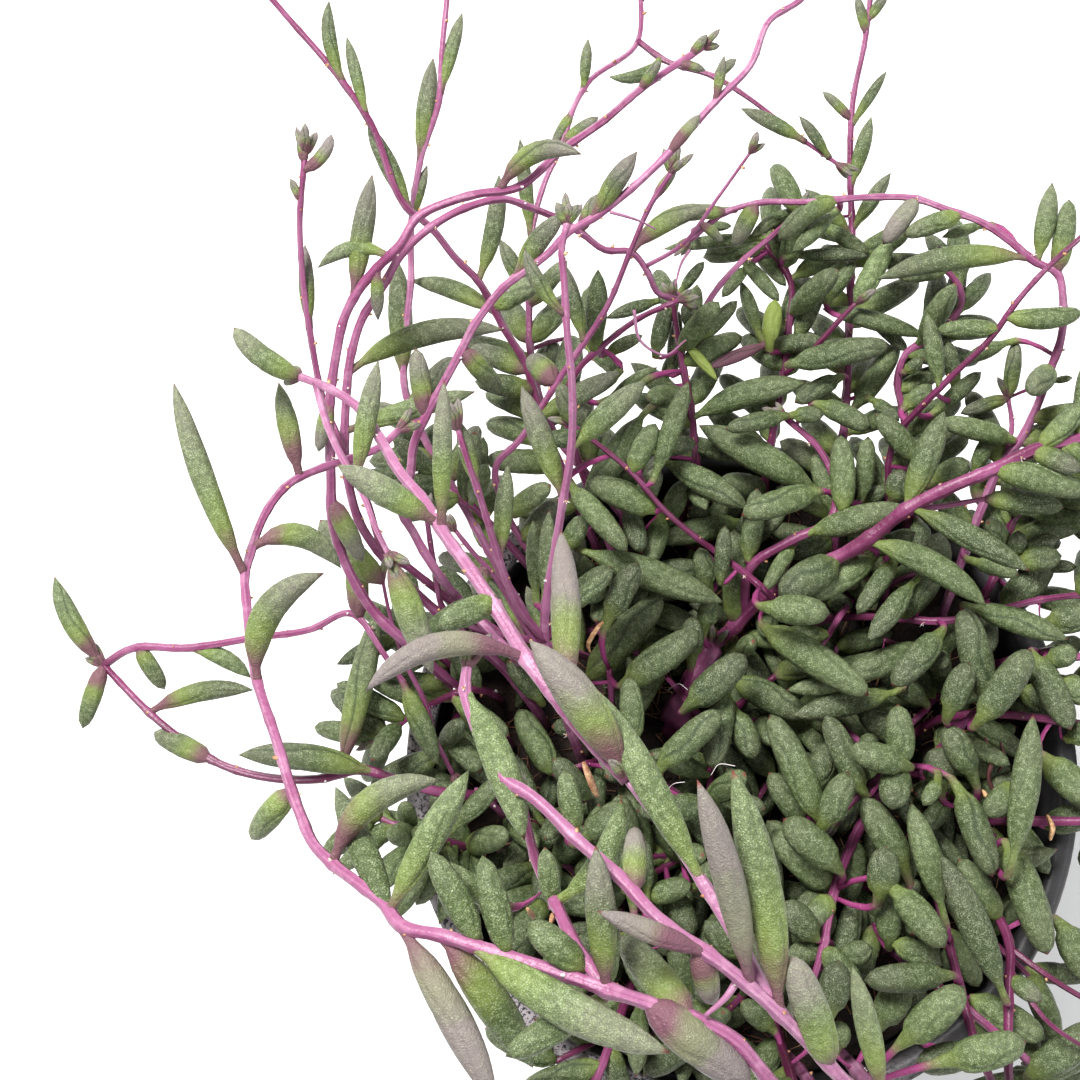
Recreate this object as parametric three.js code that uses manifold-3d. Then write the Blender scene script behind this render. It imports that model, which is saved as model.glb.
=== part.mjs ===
// A trailing succulent with magenta stems and plump spindle leaves, in a round nursery pot.
// Millimetres, +Z up, origin at the centre of the pot's underside.

import * as THREE from 'three';
import { mergeVertices } from 'three/addons/utils/BufferGeometryUtils.js';
import Module from 'manifold-3d';

const wasm = await Module();
wasm.setup();

// Pot: a 12 cm nursery pot with a rolled rim, and drain holes round a solid centre
const RIM_RADIUS = 60;
const POT_HEIGHT = 100;
const RIM_WIDTH = 4.5;
const RIM_DEPTH = 13;
const BASE_RADIUS = 42.5;
const WALL = 1.8;
const FLOOR = 2.5;
const EDGE = 1.2;
const DRAIN_RADIUS = 4;
const DRAIN_CIRCLE = 27;
const DRAIN_COUNT = 6;
const DRAIN_SIDES = 8;
const POT_SIDES = 30;
const INNER_RADIUS = RIM_RADIUS - RIM_WIDTH;
const WALL_TOP = POT_HEIGHT - RIM_DEPTH;
const WALL_LEAN = 0.6;

// Soil: filled to a little under the rim, with a plain hole for each stem
const SOIL_DROP = 11;
const SOIL_Z = POT_HEIGHT - SOIL_DROP;
const SEAT_GAP = 0.3;
const SIDE_GAP = 0.5;
const SOIL_SHOULDER = 2;
const ROOT_DEPTH = 8;
const ROOT_RISE = 0.4;
const HOLE_SLACK = 0.4;
const HOLE_SIDES = 4;
const SOIL_SIDES = 20;

// Clearances between the plant's pieces
const STEM_CLEARANCE = 1.2;
const LEAF_CLEARANCE = 0.8;
const OWN_OVERLAP = 1.0;
const FLOOR_CLEARANCE = 3;

// How finely stems and leaves are sampled, and how far a faceted stem may leave its curve
const STEM_SAMPLE = 1.25;
const LEAF_SAMPLE = 1.8;
const STEM_TOLERANCE = 0.75;
const SLIM_STEM = 0.9;
const STEM_TAPER = 0.42;
const GOLDEN_ANGLE = THREE.MathUtils.degToRad(137.508);

// The picture plane that the seen routes are read in: a square view from above the plant's
// left side, whose target lies in the plane of the rim
const VIEW_SIDE = 1080;
const VIEW_FOCAL = 1.52;
const VIEW_ELEVATION = THREE.MathUtils.degToRad(78.1);
const VIEW_DISTANCE = 300;
const VIEW_TARGET = new THREE.Vector3(-36, 41.4, POT_HEIGHT);

const viewBack = new THREE.Vector3(0, -Math.cos(VIEW_ELEVATION), Math.sin(VIEW_ELEVATION));
const viewRight = new THREE.Vector3(1, 0, 0);
const viewUp = viewBack.clone().cross(viewRight);
const eye = VIEW_TARGET.clone().addScaledVector(viewBack, VIEW_DISTANCE);

// Stems. A route is a list of [across, down, height]: a place in the picture plane and its
// height over the rim. It starts at the soil, or on the stem that it joins.
// A leaf is [base across, base down, tip across, tip down, width, rise, bow]: its places in the
// picture plane, its width, how far its tip rises over its base, and its sideways bow.
// Fill gives the leaves along the rest of a stem: [from, to, spacing, length, width], where from
// and to are shares of the stem's length.
const STEMS = [
  {
    name: 'front_arch', radius: 1,
    route: [[787, 1056, -11], [815, 1090, 20], [834, 1120, 50], [828, 1125, 75], [806, 1115, 92],
      [769, 1080, 100], [731, 1037, 103], [657, 1006, 104], [606, 989, 104], [555, 971, 103],
      [504, 955, 102], [440, 935, 100], [400, 925, 98], [384, 904, 96], [359, 884, 94],
      [333, 864, 91], [315, 846, 89], [300, 813, 86], [275, 735, 80], [258, 683, 76],
      [247, 606, 70], [245, 575, 68], [250, 555, 66], [256, 535, 64], [268, 509, 62],
      [289, 484, 59], [324, 467, 55], [352, 458, 52], [380, 447, 50], [398, 431, 48]],
    leaves: [[243, 572, 174, 384, 3.4, 6, -0.6], [259, 549, 340, 567, 3.6, -6, -3.2],
      [266, 683, 322, 574, 4.2, 4, -3.5], [336, 859, 439, 781, 3.6, 4, -3],
      [392, 912, 468, 772, 3.7, 3, 0], [395, 930, 496, 1104, 4, 2, -0.5],
      [410, 904, 336, 788, 3.6, -14, 0], [296, 476, 279, 384, 3.2, 4, 0],
      [285, 790, 252, 838, 3.4, -5, 0], [440, 935, 532, 1066, 4.4, -6, -0.5],
      [470, 950, 668, 1052, 4.6, 6, 1], [608, 988, 596, 848, 3.5, 2, 0],
      [690, 1018, 622, 938, 4.2, -6, 0], [652, 1004, 748, 1082, 5, -3, 0]],
    fill: [0.14, 0.3, 8, 22, 4],
  },
  {
    name: 'front_arch', joins: true, radius: 0.85,
    route: [[606, 989, 104], [578, 950, 102], [555, 902, 98], [537, 864, 94], [522, 800, 89]],
    leaves: [[522, 800, 505, 770, 3, 4, 0], [562, 900, 621, 801, 3.3, 4, 2]],
  },
  {
    name: 'front_spray', radius: 1.1,
    route: [[835, 1050, -11], [870, 1085, 20], [895, 1110, 50], [900, 1120, 75], [880, 1110, 92],
      [843, 1080, 100], [808, 1042, 103], [764, 999, 106], [718, 961, 108], [657, 917, 108],
      [619, 876, 107], [581, 843, 106], [530, 795, 104], [504, 779, 103], [474, 722, 101],
      [465, 690, 100], [467, 668, 100]],
    leaves: [[784, 1012, 733, 772, 4.4, 8, 0.6], [752, 987, 698, 782, 3.5, 12, 0.5],
      [895, 1085, 853, 968, 3.8, 4, 0], [834, 1062, 792, 958, 4.2, 6, 0],
      [700, 955, 600, 912, 2.6, 0, 0], [697, 948, 712, 1003, 3, -5, 0],
      [630, 890, 635, 828, 2.8, -6, 0], [468, 688, 524, 838, 4, 2, -0.6]],
    fill: [0.1, 0.35, 8, 20, 4],
  },
  {
    name: 'front_spray', joins: true, radius: 0.9,
    route: [[780, 1015, 105], [764, 989, 105], [739, 943, 104], [709, 893, 103], [678, 846, 102],
      [646, 803, 101], [628, 780, 101]],
    leaves: [[630, 783, 531, 642, 4.8, 5, 0.7], [706, 880, 596, 690, 3.8, -3, 0]],
  },
  {
    name: 'front_spray', joins: true, radius: 1.0,
    route: [[628, 780, 101], [606, 756, 101], [582, 730, 101], [558, 700, 101], [532, 667, 100],
      [503, 620, 97], [471, 571, 94], [445, 535, 90], [425, 502, 86], [400, 472, 82],
      [380, 438, 78], [362, 411, 75], [332, 390, 72], [300, 377, 68]],
    leaves: [[578, 698, 561, 532, 3.7, -6, 0.4], [520, 665, 367, 690, 3.2, 4, 3.4],
      [441, 530, 444, 382, 2.6, 6, 0], [437, 524, 339, 466, 3.8, 4, 0],
      [300, 377, 235, 329, 3.4, 3, -1]],
  },
  {
    name: 'front_spray', joins: true, radius: 0.6,
    route: [[318, 385, 70], [322, 408, 71], [330, 432, 72], [341, 456, 74], [353, 476, 76],
      [366, 502, 79], [374, 524, 81], [388, 553, 83]],
    leaves: [[388, 553, 432, 672, 4, -4, 0], [356, 480, 378, 362, 3, 4, 0]],
  },
  {
    name: 'left_spray', radius: 1.0,
    route: [[520, 800, -11], [480, 796, 2], [438, 792, 8], [389, 777, 10], [364, 770, 10],
      [318, 779, 10], [230, 768, 9], [160, 722, 7], [115, 677, 6], [104, 665, 6]],
    leaves: [[376, 778, 240, 755, 4.8, 4, 1], [207, 768, 155, 733, 4, -3, 0],
      [163, 703, 252, 690, 3.6, 2, -1.5], [104, 668, 55, 578, 3.8, 4, -1],
      [97, 672, 83, 727, 3.4, -2, 0], [342, 772, 379, 608, 4.6, 4, 0]],
  },
  {
    name: 'left_spray', joins: true, radius: 0.75,
    route: [[104, 665, 6], [125, 651, 7], [189, 648, 9], [253, 638, 11], [312, 629, 13],
      [349, 613, 15], [386, 657, 16], [402, 680, 14], [428, 726, 10], [453, 774, 4]],
    leaves: [[138, 655, 164, 688, 3.2, -3, 0], [189, 649, 250, 677, 3.2, -2, -1],
      [360, 616, 355, 545, 4, 4, 0], [402, 680, 438, 764, 4, -5, 0]],
  },
  {
    name: 'left_spray', joins: true, radius: 0.5,
    route: [[436, 738, 9], [424, 700, 13], [408, 668, 17], [397, 640, 19], [389, 612, 21],
      [383, 582, 22]],
    leaves: [[383, 582, 321, 521, 4.8, 3, -0.5]],
  },
  {
    name: 'arch_outer', radius: 0.95,
    route: [[510, 745, -11], [470, 700, 3], [420, 655, 14], [365, 600, 26], [340, 550, 32],
      [332, 519, 36], [331, 479, 40], [330, 402, 46], [337, 351, 50], [344, 319, 52],
      [357, 293, 54], [377, 268, 56], [400, 245, 58], [416, 219, 59], [452, 201, 60],
      [477, 194, 60], [513, 189, 59], [562, 150, 57], [605, 120, 55], [640, 90, 53],
      [702, 48, 51]],
    leaves: [[356, 301, 372, 176, 3.6, 4, 0], [390, 255, 319, 267, 2.6, -3, 2],
      [378, 270, 378, 319, 2.2, -4, 0], [501, 190, 580, 154, 3.4, 5, -3],
      [690, 55, 706, 36, 1.6, 1, 0], [680, 62, 704, 70, 1.6, 0, 0], [640, 90, 660, 62, 1.8, 2, 0],
      [332, 500, 362, 560, 3.4, -5, 0], [328, 402, 319, 450, 2.6, -2, 0]],
    fill: [0.06, 0.24, 8, 15, 4.2],
  },
  {
    name: 'arch_inner', radius: 0.9,
    route: [[545, 725, -11], [500, 665, 3], [440, 615, 12], [385, 560, 20], [358, 519, 27],
      [350, 491, 31], [345, 453, 35], [346, 402, 39], [352, 351, 43], [362, 319, 45],
      [383, 286, 47], [401, 255, 48], [427, 230, 49], [452, 214, 49], [477, 204, 48],
      [503, 199, 46], [529, 207, 43], [554, 217, 40], [580, 232, 37], [605, 250, 34],
      [631, 252, 32], [648, 273, 29], [656, 291, 26], [682, 301, 22]],
    leaves: [[350, 375, 503, 330, 4.2, -3, -2.5], [631, 251, 712, 208, 3.6, 3, -1.5],
      [580, 232, 596, 196, 2.4, 3, 0], [349, 430, 474, 392, 3.6, 2, 0]],
    fill: [0.06, 0.2, 8, 14, 4.2],
  },
  {
    name: 'arch_inner', joins: true, radius: 0.42,
    route: [[646, 270, 30], [682, 245, 34], [717, 199, 39], [750, 153, 43]],
    leaves: [[750, 153, 757, 135, 1.4, 2, 0], [700, 224, 722, 240, 1.8, -2, 0]],
  },
  {
    name: 'arch_tip', radius: 0.75,
    route: [[560, 690, -11], [510, 640, 4], [450, 600, 14], [412, 570, 21], [383, 547, 26],
      [368, 505, 31], [349, 462, 34], [322, 395, 40], [312, 344, 44], [306, 306, 47],
      [301, 255, 51], [300, 217, 54], [303, 178, 57], [305, 155, 58]],
    leaves: [[311, 332, 305, 246, 2.6, 3, 0], [304, 165, 301, 136, 1.8, 1, 0],
      [304, 172, 331, 136, 2.2, 1, 1], [302, 200, 291, 180, 1.4, 1, 0]],
    fill: [0.08, 0.3, 8, 14, 4],
  },
  {
    name: 'arch_short', radius: 0.75,
    route: [[590, 660, -11], [530, 640, 3], [470, 626, 10], [443, 608, 15], [436, 575, 20],
      [431, 548, 24], [427, 520, 27]],
    leaves: [[444, 606, 458, 560, 3, 2, 0], [443, 628, 492, 600, 4, 2, 0]],
    fill: [0.08, 0.5, 8, 14, 4],
  },
  {
    name: 'back_trail', radius: 0.8,
    route: [[600, 560, -11], [575, 500, 3], [550, 440, 8], [536, 398, 12], [526, 365, 15],
      [503, 327, 20], [490, 301, 23], [478, 281, 26], [457, 260, 29], [427, 224, 34],
      [411, 212, 36], [370, 122, 42], [339, 77, 44], [290, 20, 45], [262, -12, 44],
      [225, -45, 41]],
    leaves: [[342, 80, 329, 2, 2.5, 3, -1], [367, 115, 347, 38, 2.2, 3, 0],
      [411, 212, 368, 125, 3.2, 3, 0], [478, 279, 499, 176, 3.4, 4, 1],
      [494, 315, 412, 281, 3.6, -2, 1], [490, 310, 540, 281, 4.2, 2, 0],
      [260, -12, 235, -60, 3, 2, 0], [228, -42, 190, -60, 2.4, 1, 0]],
    fill: [0.08, 0.34, 7, 13, 4.4],
  },
  {
    name: 'back_upright', radius: 0.8,
    route: [[540, 640, -11], [505, 580, 3], [460, 500, 8], [425, 440, 11], [405, 390, 14],
      [406, 330, 18], [411, 281, 21], [411, 230, 25], [415, 191, 28], [421, 158, 30],
      [439, 102, 34], [442, 51, 37], [447, 0, 39], [450, -40, 40]],
    leaves: [[443, 97, 462, 14, 2.6, 3, 0], [419, 163, 433, 59, 3.4, 4, 0],
      [417, 222, 427, 166, 2, 3, 0], [405, 384, 398, 262, 4.4, 4, 0],
      [449, -35, 438, -75, 2.4, 2, 0], [447, -10, 470, -50, 2.4, 2, 0]],
    fill: [0.1, 0.42, 8, 14, 4.2],
  },
  {
    name: 'high_arch', radius: 0.85,
    route: [[522, 668, -11], [487, 628, 6], [445, 583, 18], [415, 535, 28], [400, 500, 34],
      [409, 479, 36], [414, 443, 40], [429, 410, 43], [447, 377, 46], [462, 349, 48],
      [475, 324, 50], [488, 306, 51], [503, 288, 53], [529, 268, 55], [549, 253, 56],
      [569, 232, 57], [592, 219, 58], [631, 189, 60], [669, 153, 61], [715, 102, 62],
      [750, 66, 62], [770, 20, 62], [800, 0, 61], [818, -25, 60]],
    leaves: [[516, 275, 564, 214, 3.4, 3, -0.5], [592, 219, 636, 153, 3.3, 4, 0],
      [669, 158, 699, 116, 2, 2, 0], [712, 104, 724, 57, 1.7, 2, 0],
      [462, 349, 500, 392, 3.4, -6, 0], [424, 418, 416, 350, 3.4, 3, 0],
      [818, -25, 840, -55, 2, 1, 0], [800, 2, 780, -30, 2, 1, 0]],
    fill: [0.06, 0.22, 8, 14, 4.2],
  },
  {
    name: 'centre_upright', radius: 0.85,
    route: [[585, 770, -11], [565, 715, 12], [545, 640, 28], [560, 520, 46], [572, 440, 56],
      [572, 383, 62], [567, 332, 66], [564, 281, 69], [562, 245, 71], [567, 224, 72]],
    leaves: [[562, 318, 525, 250, 2.4, 3, -1], [566, 228, 557, 204, 1.8, 1, 0],
      [567, 224, 577, 206, 1.6, 1, 0], [560, 500, 522, 388, 3.8, 5, 0],
      [573, 446, 645, 382, 4, 2, 0], [545, 632, 527, 587, 2.6, -3, 0]],
    fill: [0.1, 0.36, 8, 15, 4.2],
  },
  {
    name: 'centre_upright', joins: true, radius: 0.75,
    route: [[545, 640, 28], [517, 605, 36], [503, 572, 42], [490, 530, 48], [480, 497, 52],
      [468, 462, 56], [458, 430, 58]],
    leaves: [[484, 490, 459, 421, 2.6, 4, 0], [505, 556, 508, 466, 3, 3, 0]],
  },
  {
    name: 'centre_upright', joins: true, radius: 0.6,
    route: [[548, 655, 24], [520, 618, 32], [495, 577, 38], [470, 549, 42], [455, 530, 44]],
    leaves: [[485, 566, 476, 596, 2.6, -4, 0]],
  },
  {
    name: 'inner_branch', radius: 0.72,
    route: [[560, 620, -11], [535, 560, 4], [505, 510, 12], [497, 464, 18], [520, 440, 21],
      [540, 410, 23], [560, 378, 25], [580, 349, 28], [605, 311, 32], [631, 250, 39],
      [651, 204, 45], [671, 173, 49]],
    leaves: [[655, 202, 675, 170, 1.8, 1, 0], [671, 173, 664, 150, 1.6, 1, 0],
      [586, 343, 562, 262, 3, 3, 0], [538, 422, 620, 372, 3.8, 2, 0],
      [558, 384, 530, 357, 4.4, -3, 0]],
    fill: [0.12, 0.3, 8, 13, 4.2],
  },
  {
    name: 'back_fork', radius: 0.75,
    route: [[655, 560, -11], [608, 498, 3], [550, 425, 6], [531, 357, 9], [529, 306, 11],
      [532, 230, 14], [546, 179, 16], [562, 145, 17], [574, 107, 18], [587, 84, 19],
      [638, 41, 21], [641, 0, 23], [636, -40, 24]],
    leaves: [[585, 88, 588, 40, 2.2, 3, 0], [562, 148, 597, 118, 2.6, 2, 0],
      [572, 110, 552, 150, 2.2, -2, 0], [532, 235, 520, 140, 2.8, 4, 0],
      [530, 306, 566, 262, 3.4, 3, 0], [530, 300, 500, 240, 3.2, 3, 0],
      [638, -30, 620, -75, 2.8, 2, 0], [640, 0, 664, -40, 2.6, 2, 0]],
    fill: [0.1, 0.42, 7, 13, 4.4],
  },
  {
    name: 'back_fork', joins: true, radius: 0.6,
    route: [[638, 41, 21], [666, 61, 23], [715, 77, 24], [750, 99, 24], [800, 138, 23],
      [823, 154, 22], [836, 163, 22]],
    leaves: [[659, 60, 610, 77, 2.6, 2, -2], [803, 140, 742, 109, 2.9, 2, 0],
      [830, 160, 800, 117, 2.2, 3, 0], [715, 77, 735, 60, 2, 2, 0]],
  },
  {
    name: 'far_upright', radius: 0.8,
    route: [[830, 570, -11], [838, 490, 3], [846, 400, 7], [850, 300, 9], [852, 230, 11],
      [850, 166, 14], [853, 100, 17], [865, 40, 20], [870, 0, 22], [874, -35, 23]],
    leaves: [[851, 184, 871, 118, 2.9, 3, 0], [851, 232, 890, 174, 2.9, 3, 0],
      [853, 120, 824, 93, 2, 2, 0], [853, 124, 886, 72, 2, 3, 0],
      [866, 36, 857, -2, 2, 2, 0], [869, 20, 886, -4, 2, 1, 0],
      [852, 235, 806, 190, 3.2, 3, 0], [874, -35, 860, -75, 2.6, 2, 0]],
    fill: [0.12, 0.58, 6, 14, 4.4],
  },
  {
    name: 'right_loop', radius: 0.85,
    route: [[930, 640, -11], [962, 560, 3], [985, 500, 9], [1001, 465, 13], [1022, 437, 17],
      [1037, 406, 20], [1050, 370, 23], [1060, 342, 25], [1063, 301, 27], [1057, 273, 28],
      [1037, 263, 29], [1012, 243, 30], [981, 222, 30], [948, 210, 29], [917, 199, 28],
      [874, 197, 27], [808, 202, 26], [756, 203, 25], [726, 212, 24], [690, 240, 20]],
    leaves: [[1029, 263, 879, 279, 4.4, -3, 1.5], [1038, 266, 1052, 184, 3.6, 4, 0],
      [1058, 268, 1069, 201, 3.8, 4, 0], [915, 200, 884, 243, 3.6, -3, 0],
      [838, 202, 780, 240, 3.8, -4, 1], [756, 203, 735, 245, 3.4, -4, 0],
      [726, 212, 680, 215, 2.6, 1, 0], [1050, 370, 1030, 392, 4.4, 8, 0],
      [962, 214, 905, 235, 3.6, -3, 0]],
    fill: [0.1, 0.36, 7, 13, 4.4],
  },
  {
    name: 'right_loop', joins: true, radius: 0.6,
    route: [[1001, 465, 13], [1012, 425, 15], [1008, 398, 16]],
    leaves: [[1008, 398, 1016, 342, 3, 2, 0], [1003, 399, 962, 413, 2.6, 0, 0]],
  },
  {
    name: 'right_reach', radius: 0.7,
    route: [[880, 620, -11], [888, 520, 4], [897, 435, 14], [925, 403, 20], [955, 373, 25],
      [989, 340, 29], [1019, 299, 33], [1047, 268, 36], [1080, 238, 39], [1115, 205, 41],
      [1150, 180, 42]],
    leaves: [[1009, 318, 1080, 312, 3.8, -2, 1], [938, 388, 927, 314, 3.4, 3, 0],
      [1000, 332, 938, 330, 3.2, -3, 0], [1150, 180, 1170, 140, 2.6, 2, 0],
      [1115, 205, 1150, 230, 2.8, -2, 0]],
    fill: [0.1, 0.36, 7, 13, 4.4],
  },
  {
    name: 'main_stem', radius: 1.4,
    route: [[668, 732, -11], [687, 697, -6], [707, 651, -3], [731, 630, -1], [756, 604, 3],
      [785, 585, 7], [820, 566, 12], [859, 545, 16], [910, 507, 21], [950, 487, 24],
      [994, 469, 26], [1032, 451, 27], [1080, 438, 27], [1130, 425, 24], [1180, 420, 16],
      [1215, 425, 4]],
    leaves: [[867, 540, 985, 605, 5, 3, -1.5], [915, 516, 1028, 570, 4.4, 4, 0],
      [902, 508, 944, 412, 4.8, 3, 0], [997, 470, 1085, 492, 5, 0, 0],
      [1030, 452, 1079, 470, 3.8, 2, 0], [1040, 448, 1085, 405, 3.8, 2, 0],
      [737, 624, 734, 531, 5, 5, 0]],
    fill: [0.66, 0.98, 6, 13, 4.4],
  },
  {
    name: 'main_stem', joins: true, radius: 3.1,
    route: [[670, 728, -6], [690, 692, -5], [712, 648, -2]],
    leaves: [],
  },
  {
    name: 'main_stem', joins: true, radius: 0.9,
    route: [[740, 615, 1], [752, 566, 8], [790, 541, 11], [833, 516, 13], [836, 488, 13],
      [821, 452, 13], [785, 417, 13]],
    leaves: [[808, 545, 907, 507, 5, 6, 0]],
  },
  {
    name: 'main_stem', joins: true, radius: 0.6,
    route: [[907, 512, 20], [945, 506, 20], [985, 499, 20], [1003, 497, 20]],
    leaves: [[984, 500, 1062, 507, 4, 0, 0], [990, 500, 1040, 512, 3.4, -4, 0]],
  },
  {
    name: 'slim_cross', radius: 0.7,
    route: [[790, 625, -11], [764, 590, 0], [719, 554, 8], [698, 539, 11], [666, 512, 15],
      [631, 472, 20], [590, 438, 24], [572, 424, 25]],
    leaves: [[590, 438, 540, 440, 3.4, 2, 0], [575, 426, 560, 385, 3.2, 2, 0],
      [631, 472, 655, 425, 4, 0, 0]],
  },
  {
    name: 'right_low', radius: 0.75,
    route: [[800, 630, -11], [835, 618, -1], [880, 617, 5], [945, 621, 9], [990, 612, 10],
      [1040, 600, 9], [1100, 595, 6], [1140, 610, -4], [1160, 630, -18]],
    leaves: [],
    fill: [0.2, 0.98, 6.5, 13, 4.8],
  },
  {
    name: 'right_trail', radius: 0.8,
    route: [[905, 740, -11], [940, 719, 0], [986, 714, 6], [1080, 724, 8], [1130, 732, 4],
      [1160, 745, -10], [1165, 760, -28], [1160, 770, -46]],
    leaves: [],
    fill: [0.16, 0.98, 6.5, 13, 4.6],
  },
  {
    name: 'right_trail', joins: true, radius: 0.85,
    route: [[905, 742, -5], [900, 760, 2], [870, 785, 4], [840, 815, 3]],
    leaves: [],
  },
  {
    name: 'front_stub', radius: 1.05,
    route: [[880, 790, -11], [864, 820, -2], [848, 853, 4], [833, 897, 8], [823, 948, 10],
      [812, 984, 10]],
    leaves: [[812, 984, 790, 1030, 4.6, 1, 0], [833, 897, 800, 930, 4.6, 1, 0],
      [823, 948, 860, 990, 4.6, 1, 0]],
    fill: [0.2, 0.95, 7, 12, 4.8],
  },
  {
    name: 'front_dark', radius: 0.85,
    route: [[925, 870, -11], [938, 900, -2], [950, 948, 5], [963, 999, 9], [976, 1045, 10],
      [991, 1080, 8], [1005, 1115, 0], [1015, 1140, -16], [1020, 1150, -34]],
    leaves: [],
    fill: [0.18, 0.98, 6.5, 12, 4.8],
  },
  {
    name: 'front_right', radius: 0.9,
    route: [[975, 872, -11], [992, 905, 1], [1010, 948, 8], [1009, 986, 11], [1009, 1080, 12],
      [1015, 1130, 6], [1025, 1165, -10], [1030, 1180, -30]],
    leaves: [[1009, 980, 1040, 1000, 3.4, 2, 0], [999, 920, 960, 860, 4.6, 4, 0]],
    fill: [0.2, 0.98, 6.5, 12, 4.6],
  },
  {
    name: 'front_right', joins: true, radius: 0.6,
    route: [[1010, 950, 8], [1035, 967, 10], [1080, 996, 10], [1120, 1010, 4]],
    leaves: [],
    fill: [0.3, 1, 6.5, 12, 4.2],
  },
  {
    name: 'front_right', joins: true, radius: 0.55,
    route: [[1011, 970, 10], [1050, 1024, 13], [1085, 1048, 12]],
    leaves: [],
    fill: [0.4, 1, 7, 11, 3.8],
  },
  {
    name: 'back_mound_1', radius: 0.85,
    route: [[700, 525, -11], [697, 470, 3], [690, 405, 9], [680, 350, 13], [672, 300, 16]],
    leaves: [[693, 416, 805, 383, 5, 1, -1]],
    fill: [0.14, 1, 5, 13.5, 4.6],
  },
  {
    name: 'back_mound_1', joins: true, radius: 0.65,
    route: [[682, 350, 13], [698, 322, 16], [712, 296, 18], [741, 262, 20], [775, 233, 21],
      [797, 212, 22]],
    leaves: [[772, 236, 664, 249, 2.6, -1, 0]],
  },
  {
    name: 'back_mound_2', radius: 0.85,
    route: [[760, 515, -11], [768, 460, 3], [780, 395, 8], [788, 335, 11], [790, 280, 13],
      [765, 245, 13]],
    leaves: [[790, 360, 888, 345, 4.8, 0, 0]],
    fill: [0.14, 1, 5, 13.5, 4.6],
  },
  {
    name: 'back_mound_2', joins: true, radius: 0.65,
    route: [[785, 375, 9], [820, 342, 14], [838, 322, 16], [856, 303, 18]],
    leaves: [[854, 302, 889, 243, 4, 3, 0]],
  },
  {
    name: 'back_mound_3', radius: 0.85,
    route: [[900, 560, -11], [908, 490, 3], [905, 420, 8], [898, 377, 11], [906, 354, 13],
      [930, 338, 15], [951, 321, 17], [962, 301, 18], [957, 283, 19], [946, 270, 20]],
    leaves: [[928, 334, 823, 309, 3.6, 0, 0], [946, 270, 900, 278, 3.2, 1, 0]],
    fill: [0.14, 0.5, 5, 13.5, 4.6],
  },
  {
    name: 'back_mound_4', radius: 0.8,
    route: [[625, 590, -11], [600, 520, 2], [575, 450, 8], [565, 400, 12], [576, 373, 15],
      [606, 343, 18], [640, 318, 20], [678, 301, 20]],
    leaves: [],
    fill: [0.14, 0.7, 5, 13.5, 4.6],
  },
  {
    name: 'right_mound_1', radius: 0.85,
    route: [[968, 618, -11], [1000, 565, 3], [1020, 510, 8], [1055, 490, 9], [1100, 500, 8],
      [1140, 520, 2]],
    leaves: [],
    fill: [0.14, 1, 5, 13, 4.6],
  },
  {
    name: 'right_mound_2', radius: 0.85,
    route: [[975, 690, -11], [1015, 675, 3], [1060, 660, 7], [1105, 655, 6], [1150, 670, -2]],
    leaves: [[1030, 665, 1080, 640, 4.6, 2, 0]],
    fill: [0.14, 1, 5, 13, 4.6],
  },
  {
    name: 'left_mound_1', radius: 0.8,
    route: [[500, 700, -11], [470, 690, 2], [440, 700, 7], [405, 720, 8], [380, 740, 7]],
    leaves: [[430, 700, 390, 560, 4.6, 3, 0]],
    fill: [0.2, 1, 6, 14, 4.6],
  },
  {
    name: 'left_mound_2', radius: 0.8,
    route: [[490, 850, -11], [460, 845, 1], [425, 835, 7], [395, 825, 8], [375, 815, 7]],
    leaves: [[380, 818, 350, 800, 3.8, 1, 0]],
    fill: [0.3, 1, 7, 14, 4.4],
  },
  {
    name: 'left_mound_3', radius: 0.8,
    route: [[545, 590, -11], [505, 540, 2], [465, 500, 7], [430, 480, 8], [400, 470, 6]],
    leaves: [],
    fill: [0.2, 1, 5.5, 13.5, 4.4],
  },
];

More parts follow.
